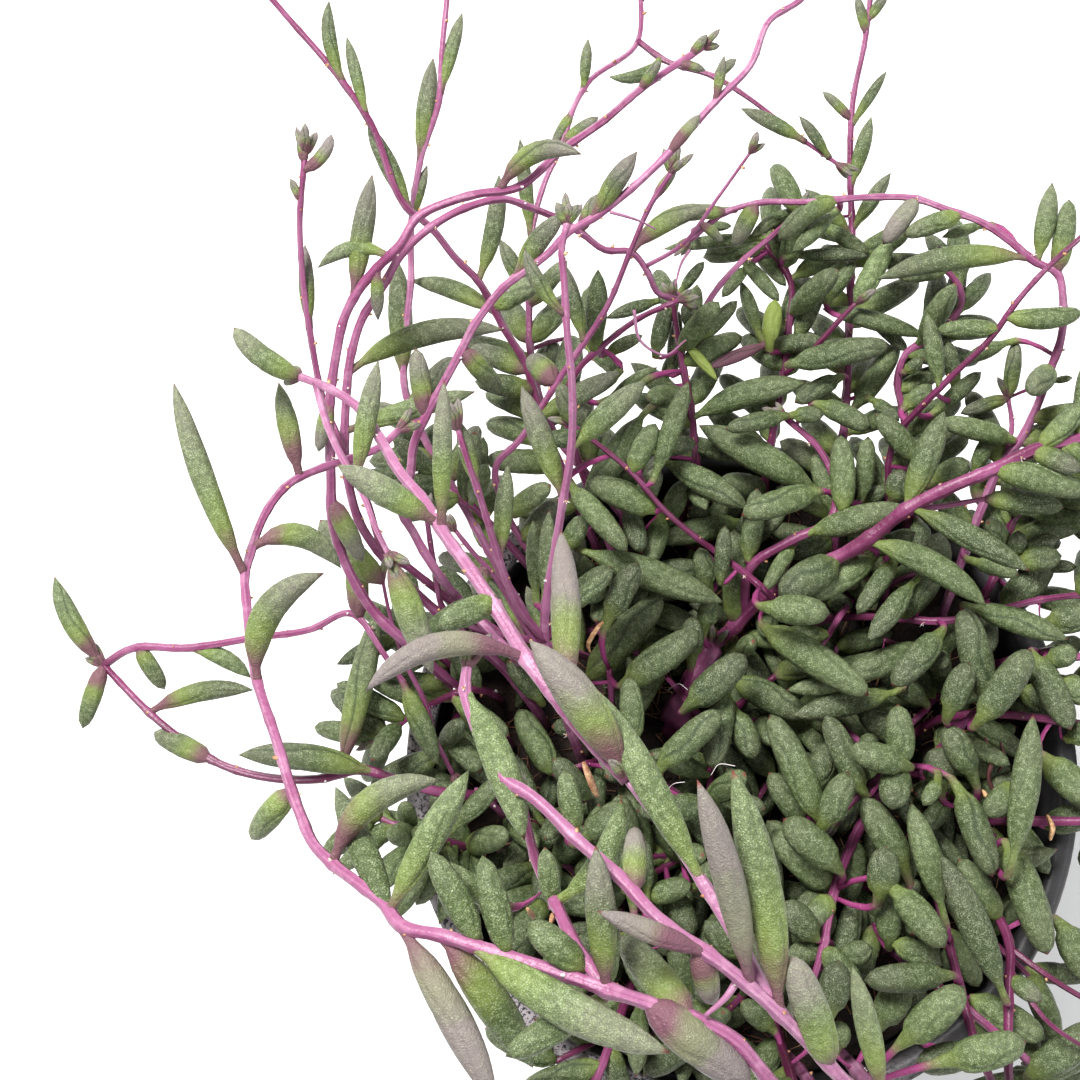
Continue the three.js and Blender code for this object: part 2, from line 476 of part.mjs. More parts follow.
// Leaves read one by one in the crown and behind it, the topmost first: [base across, base down,
// tip across, tip down, width, height over the rim]. Each grows from the stem nearest to it
const READ_LEAVES = [
  [765, 628, 867, 694, 5.8, 14], [925, 648, 845, 676, 5, 11], [897, 692, 793, 716, 4.6, 10],
  [940, 634, 893, 685, 5, 13], [925, 702, 880, 672, 4.2, 10], [985, 698, 963, 609, 5.8, 13],
  [948, 712, 968, 664, 5, 14], [980, 720, 1030, 651, 5.6, 14], [1032, 655, 1070, 728, 5.4, 12],
  [982, 617, 1041, 650, 5, 15], [965, 605, 1067, 639, 4.6, 16], [1048, 624, 1095, 612, 5.4, 10],
  [1020, 690, 1065, 712, 5, 8], [901, 766, 898, 706, 5, 16], [897, 766, 892, 808, 5.6, 15],
  [972, 774, 946, 727, 5.2, 11], [862, 792, 826, 717, 4.8, 12], [820, 820, 771, 716, 5.4, 14],
  [824, 824, 848, 774, 5, 14], [905, 765, 850, 750, 5, 6], [905, 740, 860, 712, 5, 6],
  [905, 868, 864, 799, 5.6, 14], [943, 912, 910, 803, 4.8, 15], [960, 790, 992, 875, 5.2, 12],
  [1015, 785, 985, 815, 4.6, 10], [1012, 865, 1033, 716, 5, 18], [1045, 825, 1095, 812, 5, 8],
  [1045, 760, 1095, 805, 6, 7], [836, 866, 785, 820, 6, 15], [830, 888, 774, 832, 6, 7],
  [802, 822, 770, 774, 4.4, 12], [881, 896, 885, 848, 5.6, 15], [890, 912, 832, 912, 5.2, 16],
  [890, 943, 884, 890, 4.4, 12], [896, 890, 944, 946, 5.4, 11], [1004, 996, 942, 856, 5.4, 17],
  [1008, 845, 1047, 953, 6, 16], [1066, 892, 1021, 837, 4.6, 18], [1062, 925, 1090, 980, 5.6, 10],
  [815, 938, 784, 903, 5.2, 12], [832, 888, 795, 915, 4.6, 10], [830, 892, 768, 822, 5.4, 4],
  [828, 945, 787, 958, 4.4, 8], [830, 1012, 838, 962, 5.4, 12], [946, 975, 866, 980, 5, 14],
  [880, 1024, 905, 980, 5.8, 12], [912, 1022, 918, 982, 4, 9], [894, 942, 940, 965, 4.2, 8],
  [905, 1040, 963, 988, 6, 8], [971, 998, 1043, 1038, 5.4, 13], [973, 1052, 918, 1064, 5.2, 13],
  [950, 1060, 1024, 1042, 6, 8], [1028, 1076, 1100, 1025, 6, 8], [632, 895, 628, 832, 4.6, 10],
  [648, 897, 690, 884, 4.2, 6], [672, 892, 692, 935, 4.6, 8], [738, 955, 706, 922, 4.6, 7],
  [708, 962, 702, 1003, 4.6, 10], [690, 990, 672, 940, 4.2, 6], [668, 1004, 628, 945, 6, 14],
  [662, 460, 748, 508, 4.8, 13], [748, 560, 757, 490, 4, 9], [815, 492, 743, 515, 4.9, 14],
  [820, 492, 700, 426, 6, 10], [645, 412, 584, 503, 5.2, 10], [655, 510, 590, 482, 5.3, 11],
  [572, 488, 626, 550, 4.2, 10], [628, 508, 641, 552, 3.9, 9], [662, 518, 648, 565, 4.2, 8],
  [738, 522, 660, 540, 4.6, 5], [580, 550, 722, 602, 5.6, 11], [608, 618, 637, 564, 4.6, 11],
  [570, 600, 610, 568, 3.9, 20], [588, 678, 661, 597, 6, 12], [625, 684, 698, 632, 5.6, 12],
  [645, 608, 697, 628, 4.6, 9], [692, 658, 692, 618, 4.2, 10], [690, 705, 745, 656, 5.6, 14],
  [735, 680, 805, 716, 5.3, 11], [725, 690, 712, 768, 5, 10], [660, 766, 720, 712, 5, 13],
  [735, 712, 755, 758, 4.6, 9], [693, 835, 699, 721, 4.2, 22], [634, 742, 629, 677, 4.2, 20],
  [585, 838, 622, 803, 3.9, 18], [833, 510, 815, 455, 3.9, 11], [843, 512, 841, 437, 4.6, 16],
  [917, 460, 877, 415, 4.2, 15], [1012, 440, 941, 422, 4, 18], [1020, 562, 1060, 556, 4.6, 11],
  [1003, 610, 1050, 560, 6, 9], [1033, 596, 1088, 605, 4.8, 7], [915, 580, 868, 641, 4, 14],
  [873, 558, 812, 598, 4.6, 11], [836, 562, 780, 594, 6.2, 13], [768, 608, 828, 613, 5.2, 13],
  [792, 364, 888, 345, 4.8, 11], [856, 406, 897, 345, 4.4, 14], [820, 404, 870, 428, 4, 14],
];

// A read leaf's rise from base to tip, and the lifts that it tries. Its neck comes from a stem
// no further than this, that far over the soil, and leans towards the leaf at least this much
const READ_RISE = 2;
const READ_LIFTS = [0, -2, -4, 2, -6, 4, 6, -8, 8, 10, 12];
const NECK_MOST = 14;
const NECK_OVER_SOIL = 1.5;
const NECK_LEAN = 0.2;
const NECK_BALLS = 4;

// Leaves by rule stand this many times further apart than their spacing says
const FILL_SPREAD = 6;

// Crown: short branching shoots, spread evenly over the soil, that make the low mound of leaves
const CROWN_SHOOTS = 17;
const CROWN_RADIUS = 49;
const CROWN_TURN = 2.1;
const CROWN_BRANCHES = 3;
const CROWN_STEM = 0.8;
const CROWN_REACH = [10, 17];
const CROWN_HEIGHT = [7, 21];
const CROWN_TOP = 25;
const CROWN_LEAF = [10.5, 14];
const CROWN_LEAF_WIDTH = 4.9;
const CROWN_ROOT_GAP = 5;
const CROWN_SWINGS = [0, 0.5, -0.5, 1, -1, 1.5, -1.5, 2];
const CROWN_FORK = 2.5;
const CROWN_SCATTER = 0.7;
const CROWN_TRIES = 60;
const CROWN_TRY_STEP = 1.3;
const CROWN_SEED = 300;
// A crown branch's bow: [share of its reach, share of its height]
const CROWN_BOW = [[0.3, 0.45], [0.65, 0.8], [1, 1]];

// Long stems that hang over the unseen front and right of the rim
const TRAIL_ANGLES = [-118, -84, -50, -12];
const TRAIL_DROPS = [34, 52, 38, 46];
const TRAIL_STEM = 0.85;
const TRAIL_SWAY = 0.5;
const TRAIL_SEED = 900;
const TRAIL_FILL = [0.1, 1, 6.5, 13, 4.6];
// Over the rim: [radius, share of the sway, height over the rim]
const TRAIL_RISE = [[41, 0, -SOIL_DROP], [48, 0.1, 1], [58, 0.3, 8], [68, 0.5, 5]];
// Down the outside: [radius, share of the sway, share of the drop]
const TRAIL_FALL = [[75, 0.7, 0.3], [78, 0.9, 0.65], [80, 1.1, 1]];

// Leaves. Slim and plump ones differ in where they are fullest and how blunt they end
const SLIM_SHAPE = 0.28;
const SLIM_FORM = { fullness: 1.08, bluntness: 0.75 };
const PLUMP_FORM = { fullness: 0.92, bluntness: 0.4 };
const SEEN_ARCH = 0.05;
const RULED_ARCH = 0.07;
const STEM_LEAVES = { open: 1, low: -0.35, high: 0.75 };
const CROWN_SPREAD = { open: 1.25, low: -0.15, high: 0.55 };
const FILL_SEED = 1000;
const CROWN_FILL_SEED = 2000;

// A random stream of its own for each stem, so that no stem changes another
function stream(seed) {
  let state = (seed * 7919 + 104729) % 2147483647;
  return () => {
    state = (state * 16807) % 2147483647;
    return state / 2147483647;
  };
}

const between = (range, share) => range[0] + (range[1] - range[0]) * share;

// The place in space of a point read in the picture plane
function seen([across, down, height]) {
  const x = (across - VIEW_SIDE / 2) / VIEW_SIDE / VIEW_FOCAL;
  const y = (VIEW_SIDE / 2 - down) / VIEW_SIDE / VIEW_FOCAL;
  const ray = viewBack.clone().negate().addScaledVector(viewRight, x).addScaledVector(viewUp, y);
  const reach = (POT_HEIGHT + height - eye.z) / ray.z;
  return eye.clone().addScaledVector(ray, reach);
}

// The place in the picture plane of a point in space
function pictured(point) {
  const from = point.clone().sub(eye);
  const scale = VIEW_FOCAL * VIEW_SIDE / -from.dot(viewBack);
  return [VIEW_SIDE / 2 + from.dot(viewRight) * scale, VIEW_SIDE / 2 - from.dot(viewUp) * scale];
}

// A smooth curve through the points, sampled at even steps
function smooth(points, step, start) {
  const count = points.length;
  const span = points.slice(1).map((point, i) => point.distanceTo(points[i]));
  const slope = points.map((point, i) => {
    if (i === 0 && start) return start.clone();
    if (i === 0) return points[1].clone().sub(point).divideScalar(span[0]);
    if (i === count - 1) return point.clone().sub(points[i - 1]).divideScalar(span[i - 1]);
    const before = point.clone().sub(points[i - 1]).divideScalar(span[i - 1]);
    const after = points[i + 1].clone().sub(point).divideScalar(span[i]);
    return before.multiplyScalar(span[i]).addScaledVector(after, span[i - 1])
      .divideScalar(span[i - 1] + span[i]);
  });
  const out = [points[0].clone()];
  for (let i = 0; i < count - 1; i++) {
    const parts = Math.max(1, Math.round(span[i] / step));
    for (let j = 1; j <= parts; j++) {
      const t = j / parts;
      const t2 = t * t;
      const t3 = t2 * t;
      out.push(new THREE.Vector3()
        .addScaledVector(points[i], 2 * t3 - 3 * t2 + 1)
        .addScaledVector(slope[i], (t3 - 2 * t2 + t) * span[i])
        .addScaledVector(points[i + 1], 3 * t2 - 2 * t3)
        .addScaledVector(slope[i + 1], (t3 - t2) * span[i]));
    }
  }
  return out;
}

function arcs(points) {
  const out = [0];
  for (let i = 1; i < points.length; i++) out.push(out[i - 1] + points[i].distanceTo(points[i - 1]));
  return out;
}

// What is placed so far, as balls along every stem and leaf
const balls = [];

// The pot's wall and rim as two rounded bands in section: [radius, height] at both ends, and
// half their thickness
const POT_BANDS = [
  { low: [BASE_RADIUS - 1, 1], high: [INNER_RADIUS + WALL_LEAN, WALL_TOP], half: 1.2 },
  {
    low: [RIM_RADIUS - RIM_WIDTH / 2, WALL_TOP + 2],
    high: [RIM_RADIUS - RIM_WIDTH / 2, POT_HEIGHT - RIM_WIDTH / 2],
    half: RIM_WIDTH / 2 + 0.3,
  },
];

// The distance from a ball to the pot
function potGap(point, radius) {
  const out = Math.hypot(point.x, point.y);
  let least = Infinity;
  for (const { low, high, half } of POT_BANDS) {
    const along = [high[0] - low[0], high[1] - low[1]];
    const t = THREE.MathUtils.clamp(((out - low[0]) * along[0] + (point.z - low[1]) * along[1])
      / (along[0] ** 2 + along[1] ** 2), 0, 1);
    const gap = Math.hypot(out - low[0] - along[0] * t, point.z - low[1] - along[1] * t);
    least = Math.min(least, gap - half - radius);
  }
  return least;
}

function ballGap(point, radius, node, own) {
  let least = Infinity;
  for (const ball of balls) {
    const same = ball.node === node;
    if (same && !own) continue;
    const gap = point.distanceTo(ball.at) - radius - ball.radius + (same ? OWN_OVERLAP : 0);
    if (gap < least) least = gap;
  }
  return least;
}

// Raises a stem towards the viewer, which keeps its picture, where it would touch another stem
const RAISE_REACH = 11;
const RAISE_PASSES = 80;
const RAISE_EXTRA = 0.15;
const RAISE_FROM = 3;
const ROOT_HOLD = 8;
const JOINT_HOLD = 4;
function raised(points, radius, node, rooted) {
  const out = points.map((point) => point.clone());
  const along = arcs(points);
  for (let pass = 0; pass < RAISE_PASSES; pass++) {
    let worst = -1;
    let least = STEM_CLEARANCE;
    out.forEach((point, i) => {
      if (along[i] < RAISE_FROM) return;
      const gap = Math.min(ballGap(point, radius, node, false), potGap(point, radius));
      if (gap < least - 1e-6) {
        least = gap;
        worst = i;
      }
    });
    if (worst < 0) break;
    const amount = STEM_CLEARANCE - least + RAISE_EXTRA;
    out.forEach((point, i) => {
      const away = Math.abs(along[i] - along[worst]) / RAISE_REACH;
      if (away >= 1) return;
      const held = Math.min(1, along[i] / (rooted ? ROOT_HOLD : JOINT_HOLD));
      const toward = eye.clone().sub(point).normalize();
      point.addScaledVector(toward, amount * held * (0.5 + 0.5 * Math.cos(Math.PI * away)));
    });
  }
  return out;
}

function courseGap(points, radius, node) {
  return Math.min(...points.map((point) => ballGap(point, radius, node, false)));
}

// Stems as built: { node, radius, points, along, rooted, spec }
const stems = [];

function taper(stem, share) {
  return stem.radius * (1 - STEM_TAPER * share);
}

// A stem's course: the smooth curve through its route, raised clear of the others
function course(node, radius, route, rooted) {
  const root = route[0].clone();
  let start;
  if (rooted) {
    root.z = SOIL_Z + ROOT_RISE;
    start = new THREE.Vector3(0, 0, 1);
  }
  return raised(smooth([root, ...route.slice(1)], STEM_SAMPLE, start), radius, node, rooted);
}

function addStem(node, radius, points, spec, rooted) {
  const stem = { node, radius, points, along: arcs(points), rooted, spec };
  const length = stem.along.at(-1);
  points.forEach((point, i) => {
    balls.push({ at: point, radius: taper(stem, stem.along[i] / length), node });
  });
  stems.push(stem);
  return stem;
}

// The place on a node's own stems nearest to a point in space
function nearestOn(node, point) {
  let best = null;
  let least = Infinity;
  for (const stem of stems) {
    if (stem.node !== node) continue;
    for (const other of stem.points) {
      const gap = other.distanceTo(point);
      if (gap < least) {
        least = gap;
        best = other;
      }
    }
  }
  return best;
}

function layStems() {
  for (const spec of STEMS) {
    const route = spec.route.map(seen);
    if (spec.joins) route[0] = nearestOn(spec.name, route[0]).clone();
    const points = course(spec.name, spec.radius, route, !spec.joins);
    addStem(spec.name, spec.radius, points, spec, !spec.joins);
  }
}

function layTrails() {
  for (let i = 0; i < TRAIL_ANGLES.length; i++) {
    const random = stream(TRAIL_SEED + i);
    const angle = THREE.MathUtils.degToRad(TRAIL_ANGLES[i]);
    const sway = (random() - 0.5) * TRAIL_SWAY;
    const polar = (radius, share, height) => new THREE.Vector3(
      radius * Math.cos(angle + sway * share), radius * Math.sin(angle + sway * share),
      POT_HEIGHT + height);
    const route = [
      ...TRAIL_RISE.map(([radius, share, height]) => polar(radius, share, height)),
      ...TRAIL_FALL.map(([radius, share, drop]) => polar(radius, share, -drop * TRAIL_DROPS[i])),
    ];
    const spec = { leaves: [], fill: TRAIL_FILL };
    const node = `rim_trail_${i + 1}`;
    addStem(node, TRAIL_STEM, course(node, TRAIL_STEM, route, true), spec, true);
  }
}

// Whether a crown shoot can rise at a place: at these heights over the soil, and among the roots
const ROOT_PROBES = [1, 4, 8];
function rootIsFree(x, y) {
  for (const rise of ROOT_PROBES) {
    const low = new THREE.Vector3(x, y, SOIL_Z + rise);
    if (ballGap(low, CROWN_STEM, '', false) < 2 * STEM_CLEARANCE) return false;
  }
  return stems.every((stem) => {
    if (!stem.rooted) return true;
    const root = stem.points[0];
    return Math.hypot(root.x - x, root.y - y) > CROWN_ROOT_GAP;
  });
}

function layCrown() {
  for (let i = 0; i < CROWN_SHOOTS; i++) {
    const random = stream(CROWN_SEED + i);
    const angle = i * GOLDEN_ANGLE + CROWN_TURN;
    const out = CROWN_RADIUS * Math.sqrt((i + 0.6) / CROWN_SHOOTS);
    let x = out * Math.cos(angle);
    let y = out * Math.sin(angle);
    for (let step = 1; step < CROWN_TRIES && !rootIsFree(x, y); step++) {
      const aside = CROWN_TRY_STEP * Math.sqrt(step);
      x = out * Math.cos(angle) + aside * Math.cos(step * GOLDEN_ANGLE);
      y = out * Math.sin(angle) + aside * Math.sin(step * GOLDEN_ANGLE);
    }
    const node = `crown_shoot_${String(i + 1).padStart(2, '0')}`;
    const first = random() * 2 * Math.PI;
    for (let j = 0; j < CROWN_BRANCHES; j++) {
      const way = first + j * 2 * Math.PI / CROWN_BRANCHES + (random() - 0.5) * CROWN_SCATTER;
      const reach = between(CROWN_REACH, random());
      const top = between(CROWN_HEIGHT, random());
      let points;
      for (const swing of CROWN_SWINGS) {
        const at = (share, rise) => new THREE.Vector3(x + reach * share * Math.cos(way + swing),
          y + reach * share * Math.sin(way + swing), SOIL_Z + rise);
        const route = [at(0, j === 0 ? 0 : CROWN_FORK),
          ...CROWN_BOW.map(([share, rise]) => at(share, top * rise))];
        if (j > 0) route[0] = nearestOn(node, route[0]).clone();
        points = course(node, CROWN_STEM, route, j === 0);
        const clear = courseGap(points, CROWN_STEM, node) > LEAF_CLEARANCE;
        if (clear && points.every((point) => point.z < SOIL_Z + CROWN_TOP)) break;
        points = null;
      }
      if (points) addStem(node, CROWN_STEM, points, { leaves: [], crown: true }, j === 0);
    }
  }
}

// Leaves as built: { stem, node, width, base, middle, tip, fullness, bluntness }, with a foot
// where the leaf stands on a neck of its own
const leaves = [];

function leafAt(leaf, t) {
  const u = 1 - t;
  return leaf.base.clone().multiplyScalar(u * u).addScaledVector(leaf.middle, 2 * u * t)
    .addScaledVector(leaf.tip, t * t);
}

// A leaf's half width along its length: slim at the base, fullest past the middle
function leafHalf(leaf, t) {
  const s = t ** leaf.fullness;
  return leaf.width / 2 * (4 * s * (1 - s)) ** leaf.bluntness;
}

function newLeaf(stem, base, tip, width, bow, arch) {
  const along = tip.clone().sub(base);
  const length = along.length();
  const side = along.clone().cross(new THREE.Vector3(0, 0, 1)).normalize();
  const middle = base.clone().add(tip).multiplyScalar(0.5).addScaledVector(side, 2 * bow);
  middle.z += 2 * arch * length;
  const form = width / length < SLIM_SHAPE ? SLIM_FORM : PLUMP_FORM;
  return { stem, node: stem.node, width, base, middle, tip, ...form };
}

// A leaf as balls, from clear of its stem to its tip, with those of its neck
const LEAF_BALLS = 5;
const BALLS_FROM = 0.1;
const BALLS_TO = 0.97;
const NECK_TOP = 0.35;
function leafBalls(leaf) {
  const length = leaf.tip.distanceTo(leaf.base);
  const count = Math.max(LEAF_BALLS, Math.ceil(length / LEAF_SAMPLE));
  const out = [];
  for (let i = 1; leaf.foot && i <= NECK_BALLS; i++) {
    const share = i / (NECK_BALLS + 1);
    const at = leaf.foot.clone().lerp(leafAt(leaf, NECK_TOP), share);
    out.push({ at, radius: leafHalf(leaf, NECK_TOP) * share, t: 0 });
  }
  for (let i = 1; i <= count; i++) {
    const t = BALLS_FROM + (BALLS_TO - BALLS_FROM) * i / count;
    out.push({ at: leafAt(leaf, t), radius: leafHalf(leaf, t), t });
  }
  return out;
}

// How clear a leaf is of all that is placed: the least gap over its balls. One that minds its
// own node is kept clear of that too, beyond the part that grows from the stem
const MINDING_FROM = 0.45;
const HOPELESS = -3;
function leafGap(leaf, minding) {
  let least = Infinity;
  for (const { at, radius, t } of leafBalls(leaf)) {
    const own = minding && t > MINDING_FROM;
    least = Math.min(least, ballGap(at, radius, leaf.node, own), potGap(at, radius));
    least = Math.min(least, at.z - radius - FLOOR_CLEARANCE);
    if (Math.hypot(at.x, at.y) < RIM_RADIUS) least = Math.min(least, at.z - radius - SOIL_Z);
    if (least < HOPELESS) break;
  }
  return least;
}

function keepLeaf(leaf) {
  leaves.push(leaf);
  for (const { at, radius } of leafBalls(leaf)) balls.push({ at, radius, node: leaf.node });
}

// A seen leaf keeps its picture: its tip is raised or lowered until the leaf is clear
const RISES = [0, 2, -2, 4, -4, 6, -6, 9, -9, 12, 16];
function placeSeenLeaf(stem, [baseAcross, baseDown, tipAcross, tipDown, width, rise, bow]) {
  let base = null;
  let least = Infinity;
  for (const point of stem.points) {
    const [across, down] = pictured(point);
    const gap = Math.hypot(across - baseAcross, down - baseDown);
    if (gap < least) {
      least = gap;
      base = point;
    }
  }
  for (const extra of RISES) {
    const tip = seen([tipAcross, tipDown, base.z - POT_HEIGHT + rise + extra]);
    const leaf = newLeaf(stem, base.clone(), tip, width, bow, SEEN_ARCH);
    if (leafGap(leaf, false) >= LEAF_CLEARANCE) {
      keepLeaf(leaf);
      return;
    }
  }
}

// The stem nearest to a read leaf's base, and the place on it, from where a neck reaches the
// leaf without folding back
function anchorOf(base, tip) {
  let best = null;
  let least = NECK_MOST;
  const way = tip.clone().sub(base).normalize();
  const top = base.clone().lerp(tip, NECK_TOP);
  for (const stem of stems) {
    for (const point of stem.points) {
      if (point.z < SOIL_Z + NECK_OVER_SOIL) continue;
      const neck = top.clone().sub(point);
      if (neck.dot(way) < NECK_LEAN * neck.length()) continue;
      const gap = point.distanceTo(base);
      if (gap < least) {
        least = gap;
        best = { stem, point };
      }
    }
  }
  return best;
}

// A read leaf keeps its picture: the whole leaf is raised or lowered until it is clear
function placeReadLeaf([baseAcross, baseDown, tipAcross, tipDown, width, height]) {
  for (const lift of READ_LIFTS) {
    const base = seen([baseAcross, baseDown, height + lift - READ_RISE / 2]);
    const tip = seen([tipAcross, tipDown, height + lift + READ_RISE / 2]);
    const anchor = anchorOf(base, tip);
    if (!anchor) continue;
    const leaf = newLeaf(anchor.stem, base, tip, width, 0, SEEN_ARCH);
    leaf.foot = anchor.point;
    if (leafGap(leaf, true) >= LEAF_CLEARANCE) {
      keepLeaf(leaf);
      return;
    }
  }
}

// The stems whose leaves by rule are only seen through, and may stand before each other
const MOUNDS = ['crown_shoot', 'back_mound', 'right_mound', 'left_mound', 'right_low'];
const isMound = (node) => MOUNDS.some((name) => node.startsWith(name));

// The places in the picture plane that no leaf by rule may cover, as [across, down, radius, z]
let guard = [];
function layGuard() {
  const kept = leaves.flatMap((leaf) => leafBalls(leaf));
  for (const stem of stems) {
    if (isMound(stem.node)) continue;
    const total = stem.along.at(-1);
    stem.points.forEach((at, i) => kept.push({ at, radius: taper(stem, stem.along[i] / total) }));
  }
  guard = kept.map(({ at, radius }) => [...pictured(at), radius, at.z]);
}

// Whether a leaf would stand in front of anything in the guard
const GUARD_SHARE = 0.75;
function hides(leaf) {
  return leafBalls(leaf).some(({ at, radius }) => {
    const [across, down] = pictured(at);
    const scale = VIEW_FOCAL * VIEW_SIDE / -at.clone().sub(eye).dot(viewBack);
    return guard.some(([otherAcross, otherDown, otherRadius, z]) => at.z > z
      && Math.hypot(across - otherAcross, down - otherDown)
        < (radius * GUARD_SHARE + otherRadius) * scale);
  });
}

// A leaf by rule leaves its stem on a spiral, and takes the first turn that is clear
const TURNS = [0, 1, -1, 2, -2, 3, -3, 4];
const TURN_STEP = 0.75;
function placeRuledLeaf(stem, index, turn, length, width, { open, low, high }) {
  const base = stem.points[index];
  const before = stem.points[Math.max(0, index - 1)];
  const after = stem.points[Math.min(stem.points.length - 1, index + 1)];
  const tangent = after.clone().sub(before).normalize();
  const side = tangent.clone().cross(new THREE.Vector3(0, 0, 1));
  if (side.length() < 0.2) side.set(1, 0, 0);
  side.normalize();
  const over = side.clone().cross(tangent);
  for (const step of TURNS) {
    const angle = turn + step * TURN_STEP;
    const way = tangent.clone().multiplyScalar(Math.cos(open))
      .addScaledVector(side, Math.sin(open) * Math.cos(angle))
      .addScaledVector(over, Math.sin(open) * Math.sin(angle));
    way.z = THREE.MathUtils.clamp(way.z, low, high);
    way.normalize();
    const tip = base.clone().addScaledVector(way, length);
    const leaf = newLeaf(stem, base.clone(), tip, width, 0, RULED_ARCH);
    if (leafGap(leaf, true) >= LEAF_CLEARANCE && !hides(leaf)) {
      keepLeaf(leaf);
      return;
    }
  }
}

function fillStem(stem, seed) {
  const [from, to, spacing, length, width] = stem.spec.fill;
  const random = stream(seed);
  const total = stem.along.at(-1);
  let turn = random() * 2 * Math.PI;
  let next = from * total;
  stem.along.forEach((arc, index) => {
    if (arc < next || arc > to * total) return;
    next = arc + FILL_SPREAD * spacing * (0.85 + 0.3 * random());
    turn += GOLDEN_ANGLE;
    const share = arc / total;
    const size = (0.85 + 0.3 * random()) * (1 - 0.35 * Math.max(0, share - 0.6));
    placeRuledLeaf(stem, index, turn, length * size, width * (0.9 + 0.2 * random()), STEM_LEAVES);
  });
}

function fillCrown(stem, seed) {
  const random = stream(seed);
  const turn = random() * 2 * Math.PI;
  const length = between(CROWN_LEAF, random());
  const width = CROWN_LEAF_WIDTH * (0.88 + 0.22 * random());
  placeRuledLeaf(stem, stem.points.length - 1, turn, length, width, CROWN_SPREAD);
}

function layLeaves() {
  for (const stem of stems) {
    for (const leaf of stem.spec.leaves) placeSeenLeaf(stem, leaf);
  }
  READ_LEAVES.forEach(placeReadLeaf);
  layGuard();
  stems.forEach((stem, index) => {
    if (stem.spec.crown) fillCrown(stem, CROWN_FILL_SEED + index);
  });
  stems.forEach((stem, index) => {
    if (stem.spec.fill) fillStem(stem, FILL_SEED + index);
  });
}

// A closed skin over rings of points, with a point at each end
function skin(rings, first, last) {
  const sides = rings[0].length;
  const points = [first, ...rings.flat(), last];
  const index = [];
  const at = (ring, side) => 1 + ring * sides + side % sides;
  for (let j = 0; j < sides; j++) {
    index.push(0, at(0, j), at(0, j + 1));
    index.push(points.length - 1, at(rings.length - 1, j + 1), at(rings.length - 1, j));
    for (let i = 0; i < rings.length - 1; i++) {
      index.push(at(i, j), at(i + 1, j + 1), at(i, j + 1));
      index.push(at(i, j), at(i + 1, j), at(i + 1, j + 1));
    }
  }
  const geometry = new THREE.BufferGeometry();
  geometry.setAttribute('position', new THREE.Float32BufferAttribute(
    points.flatMap((point) => point.toArray()), 3));
  geometry.setIndex(index);
  return geometry;
}

function ring(centre, side, over, half, thick, sides, phase) {
  const out = [];
  for (let j = 0; j < sides; j++) {
    const angle = 2 * Math.PI * j / sides + phase;
    out.push(centre.clone().addScaledVector(side, half * Math.cos(angle))
      .addScaledVector(over, thick * Math.sin(angle)));
  }
  return out;
}

// A faceted leaf: its rings' places along it, its thickness to its width, and how much wider it
// is than the curve, so that its flats lie about on the curve
const SHORT_LEAF = 24;
const SHORT_RINGS = [0.35, 0.77];
const LONG_RINGS = [0.22, 0.55, 0.84];
const LEAF_SIDES = 4;
const LEAF_PHASE = 0.2;
const LEAF_THICKNESS = 0.8;
const LEAF_FACET = 1.06;
function leafGeometry(leaf, foot) {
  const places = leaf.tip.distanceTo(leaf.base) < SHORT_LEAF ? SHORT_RINGS : LONG_RINGS;
  const rings = places.map((t) => {
    const tangent = leafAt(leaf, t + 0.01).sub(leafAt(leaf, t - 0.01)).normalize();
    const side = tangent.clone().cross(new THREE.Vector3(0, 0, 1));
    if (side.length() < 0.05) side.set(1, 0, 0);
    side.normalize();
    const over = side.clone().cross(tangent);
    const half = leafHalf(leaf, t) * LEAF_FACET;
    return ring(leafAt(leaf, t), side, over, half, half * LEAF_THICKNESS, LEAF_SIDES, LEAF_PHASE);
  });
  return skin(rings, foot, leaf.tip);
}

// The fewest samples that keep within the tolerance of the curve
function thinned(points, from, to, keep) {
  const chord = new THREE.Line3(points[from], points[to]);
  const near = new THREE.Vector3();
  let worst = -1;
  let most = STEM_TOLERANCE;
  for (let i = from + 1; i < to; i++) {
    chord.closestPointToPoint(points[i], true, near);
    const gap = near.distanceTo(points[i]);
    if (gap > most) {
      most = gap;
      worst = i;
    }
  }
  if (worst < 0) return;
  keep.add(worst);
  thinned(points, from, worst, keep);
  thinned(points, worst, to, keep);
}

// The samples that a faceted stem has, always with those that its branches leave from
function chosenSamples(stem) {
  const last = stem.points.length - 1;
  const marks = [0, last];
  for (const { node, rooted, points } of stems) {
    if (node !== stem.node || rooted) continue;
    const at = stem.points.findIndex((point) => point.equals(points[0]));
    if (at > 0 && at < last) marks.push(at);
  }
  marks.sort((a, b) => a - b);
  const keep = new Set(marks);
  marks.slice(1).forEach((mark, i) => thinned(stem.points, marks[i], mark, keep));
  return [...keep].sort((a, b) => a - b);
}

// The place in the faceted stem nearest to a leaf's base, and on past the stem's middle, so
// that its root is sunk well in
const SUNK = 0.2;
function footOf(leaf) {
  const { points } = leaf.stem;
  const chosen = chosenSamples(leaf.stem);
  const near = new THREE.Vector3();
  const from = leaf.foot ?? leaf.base;
  let foot = from;
  let least = Infinity;
  for (let i = 1; i < chosen.length; i++) {
    new THREE.Line3(points[chosen[i - 1]], points[chosen[i]])
      .closestPointToPoint(from, true, near);
    const gap = near.distanceTo(from);
    if (gap < least) {
      least = gap;
      foot = near.clone();
    }
  }
  const inward = foot.clone().sub(leafAt(leaf, NECK_TOP)).normalize();
  return foot.clone().addScaledVector(inward, SUNK * leaf.stem.radius);
}

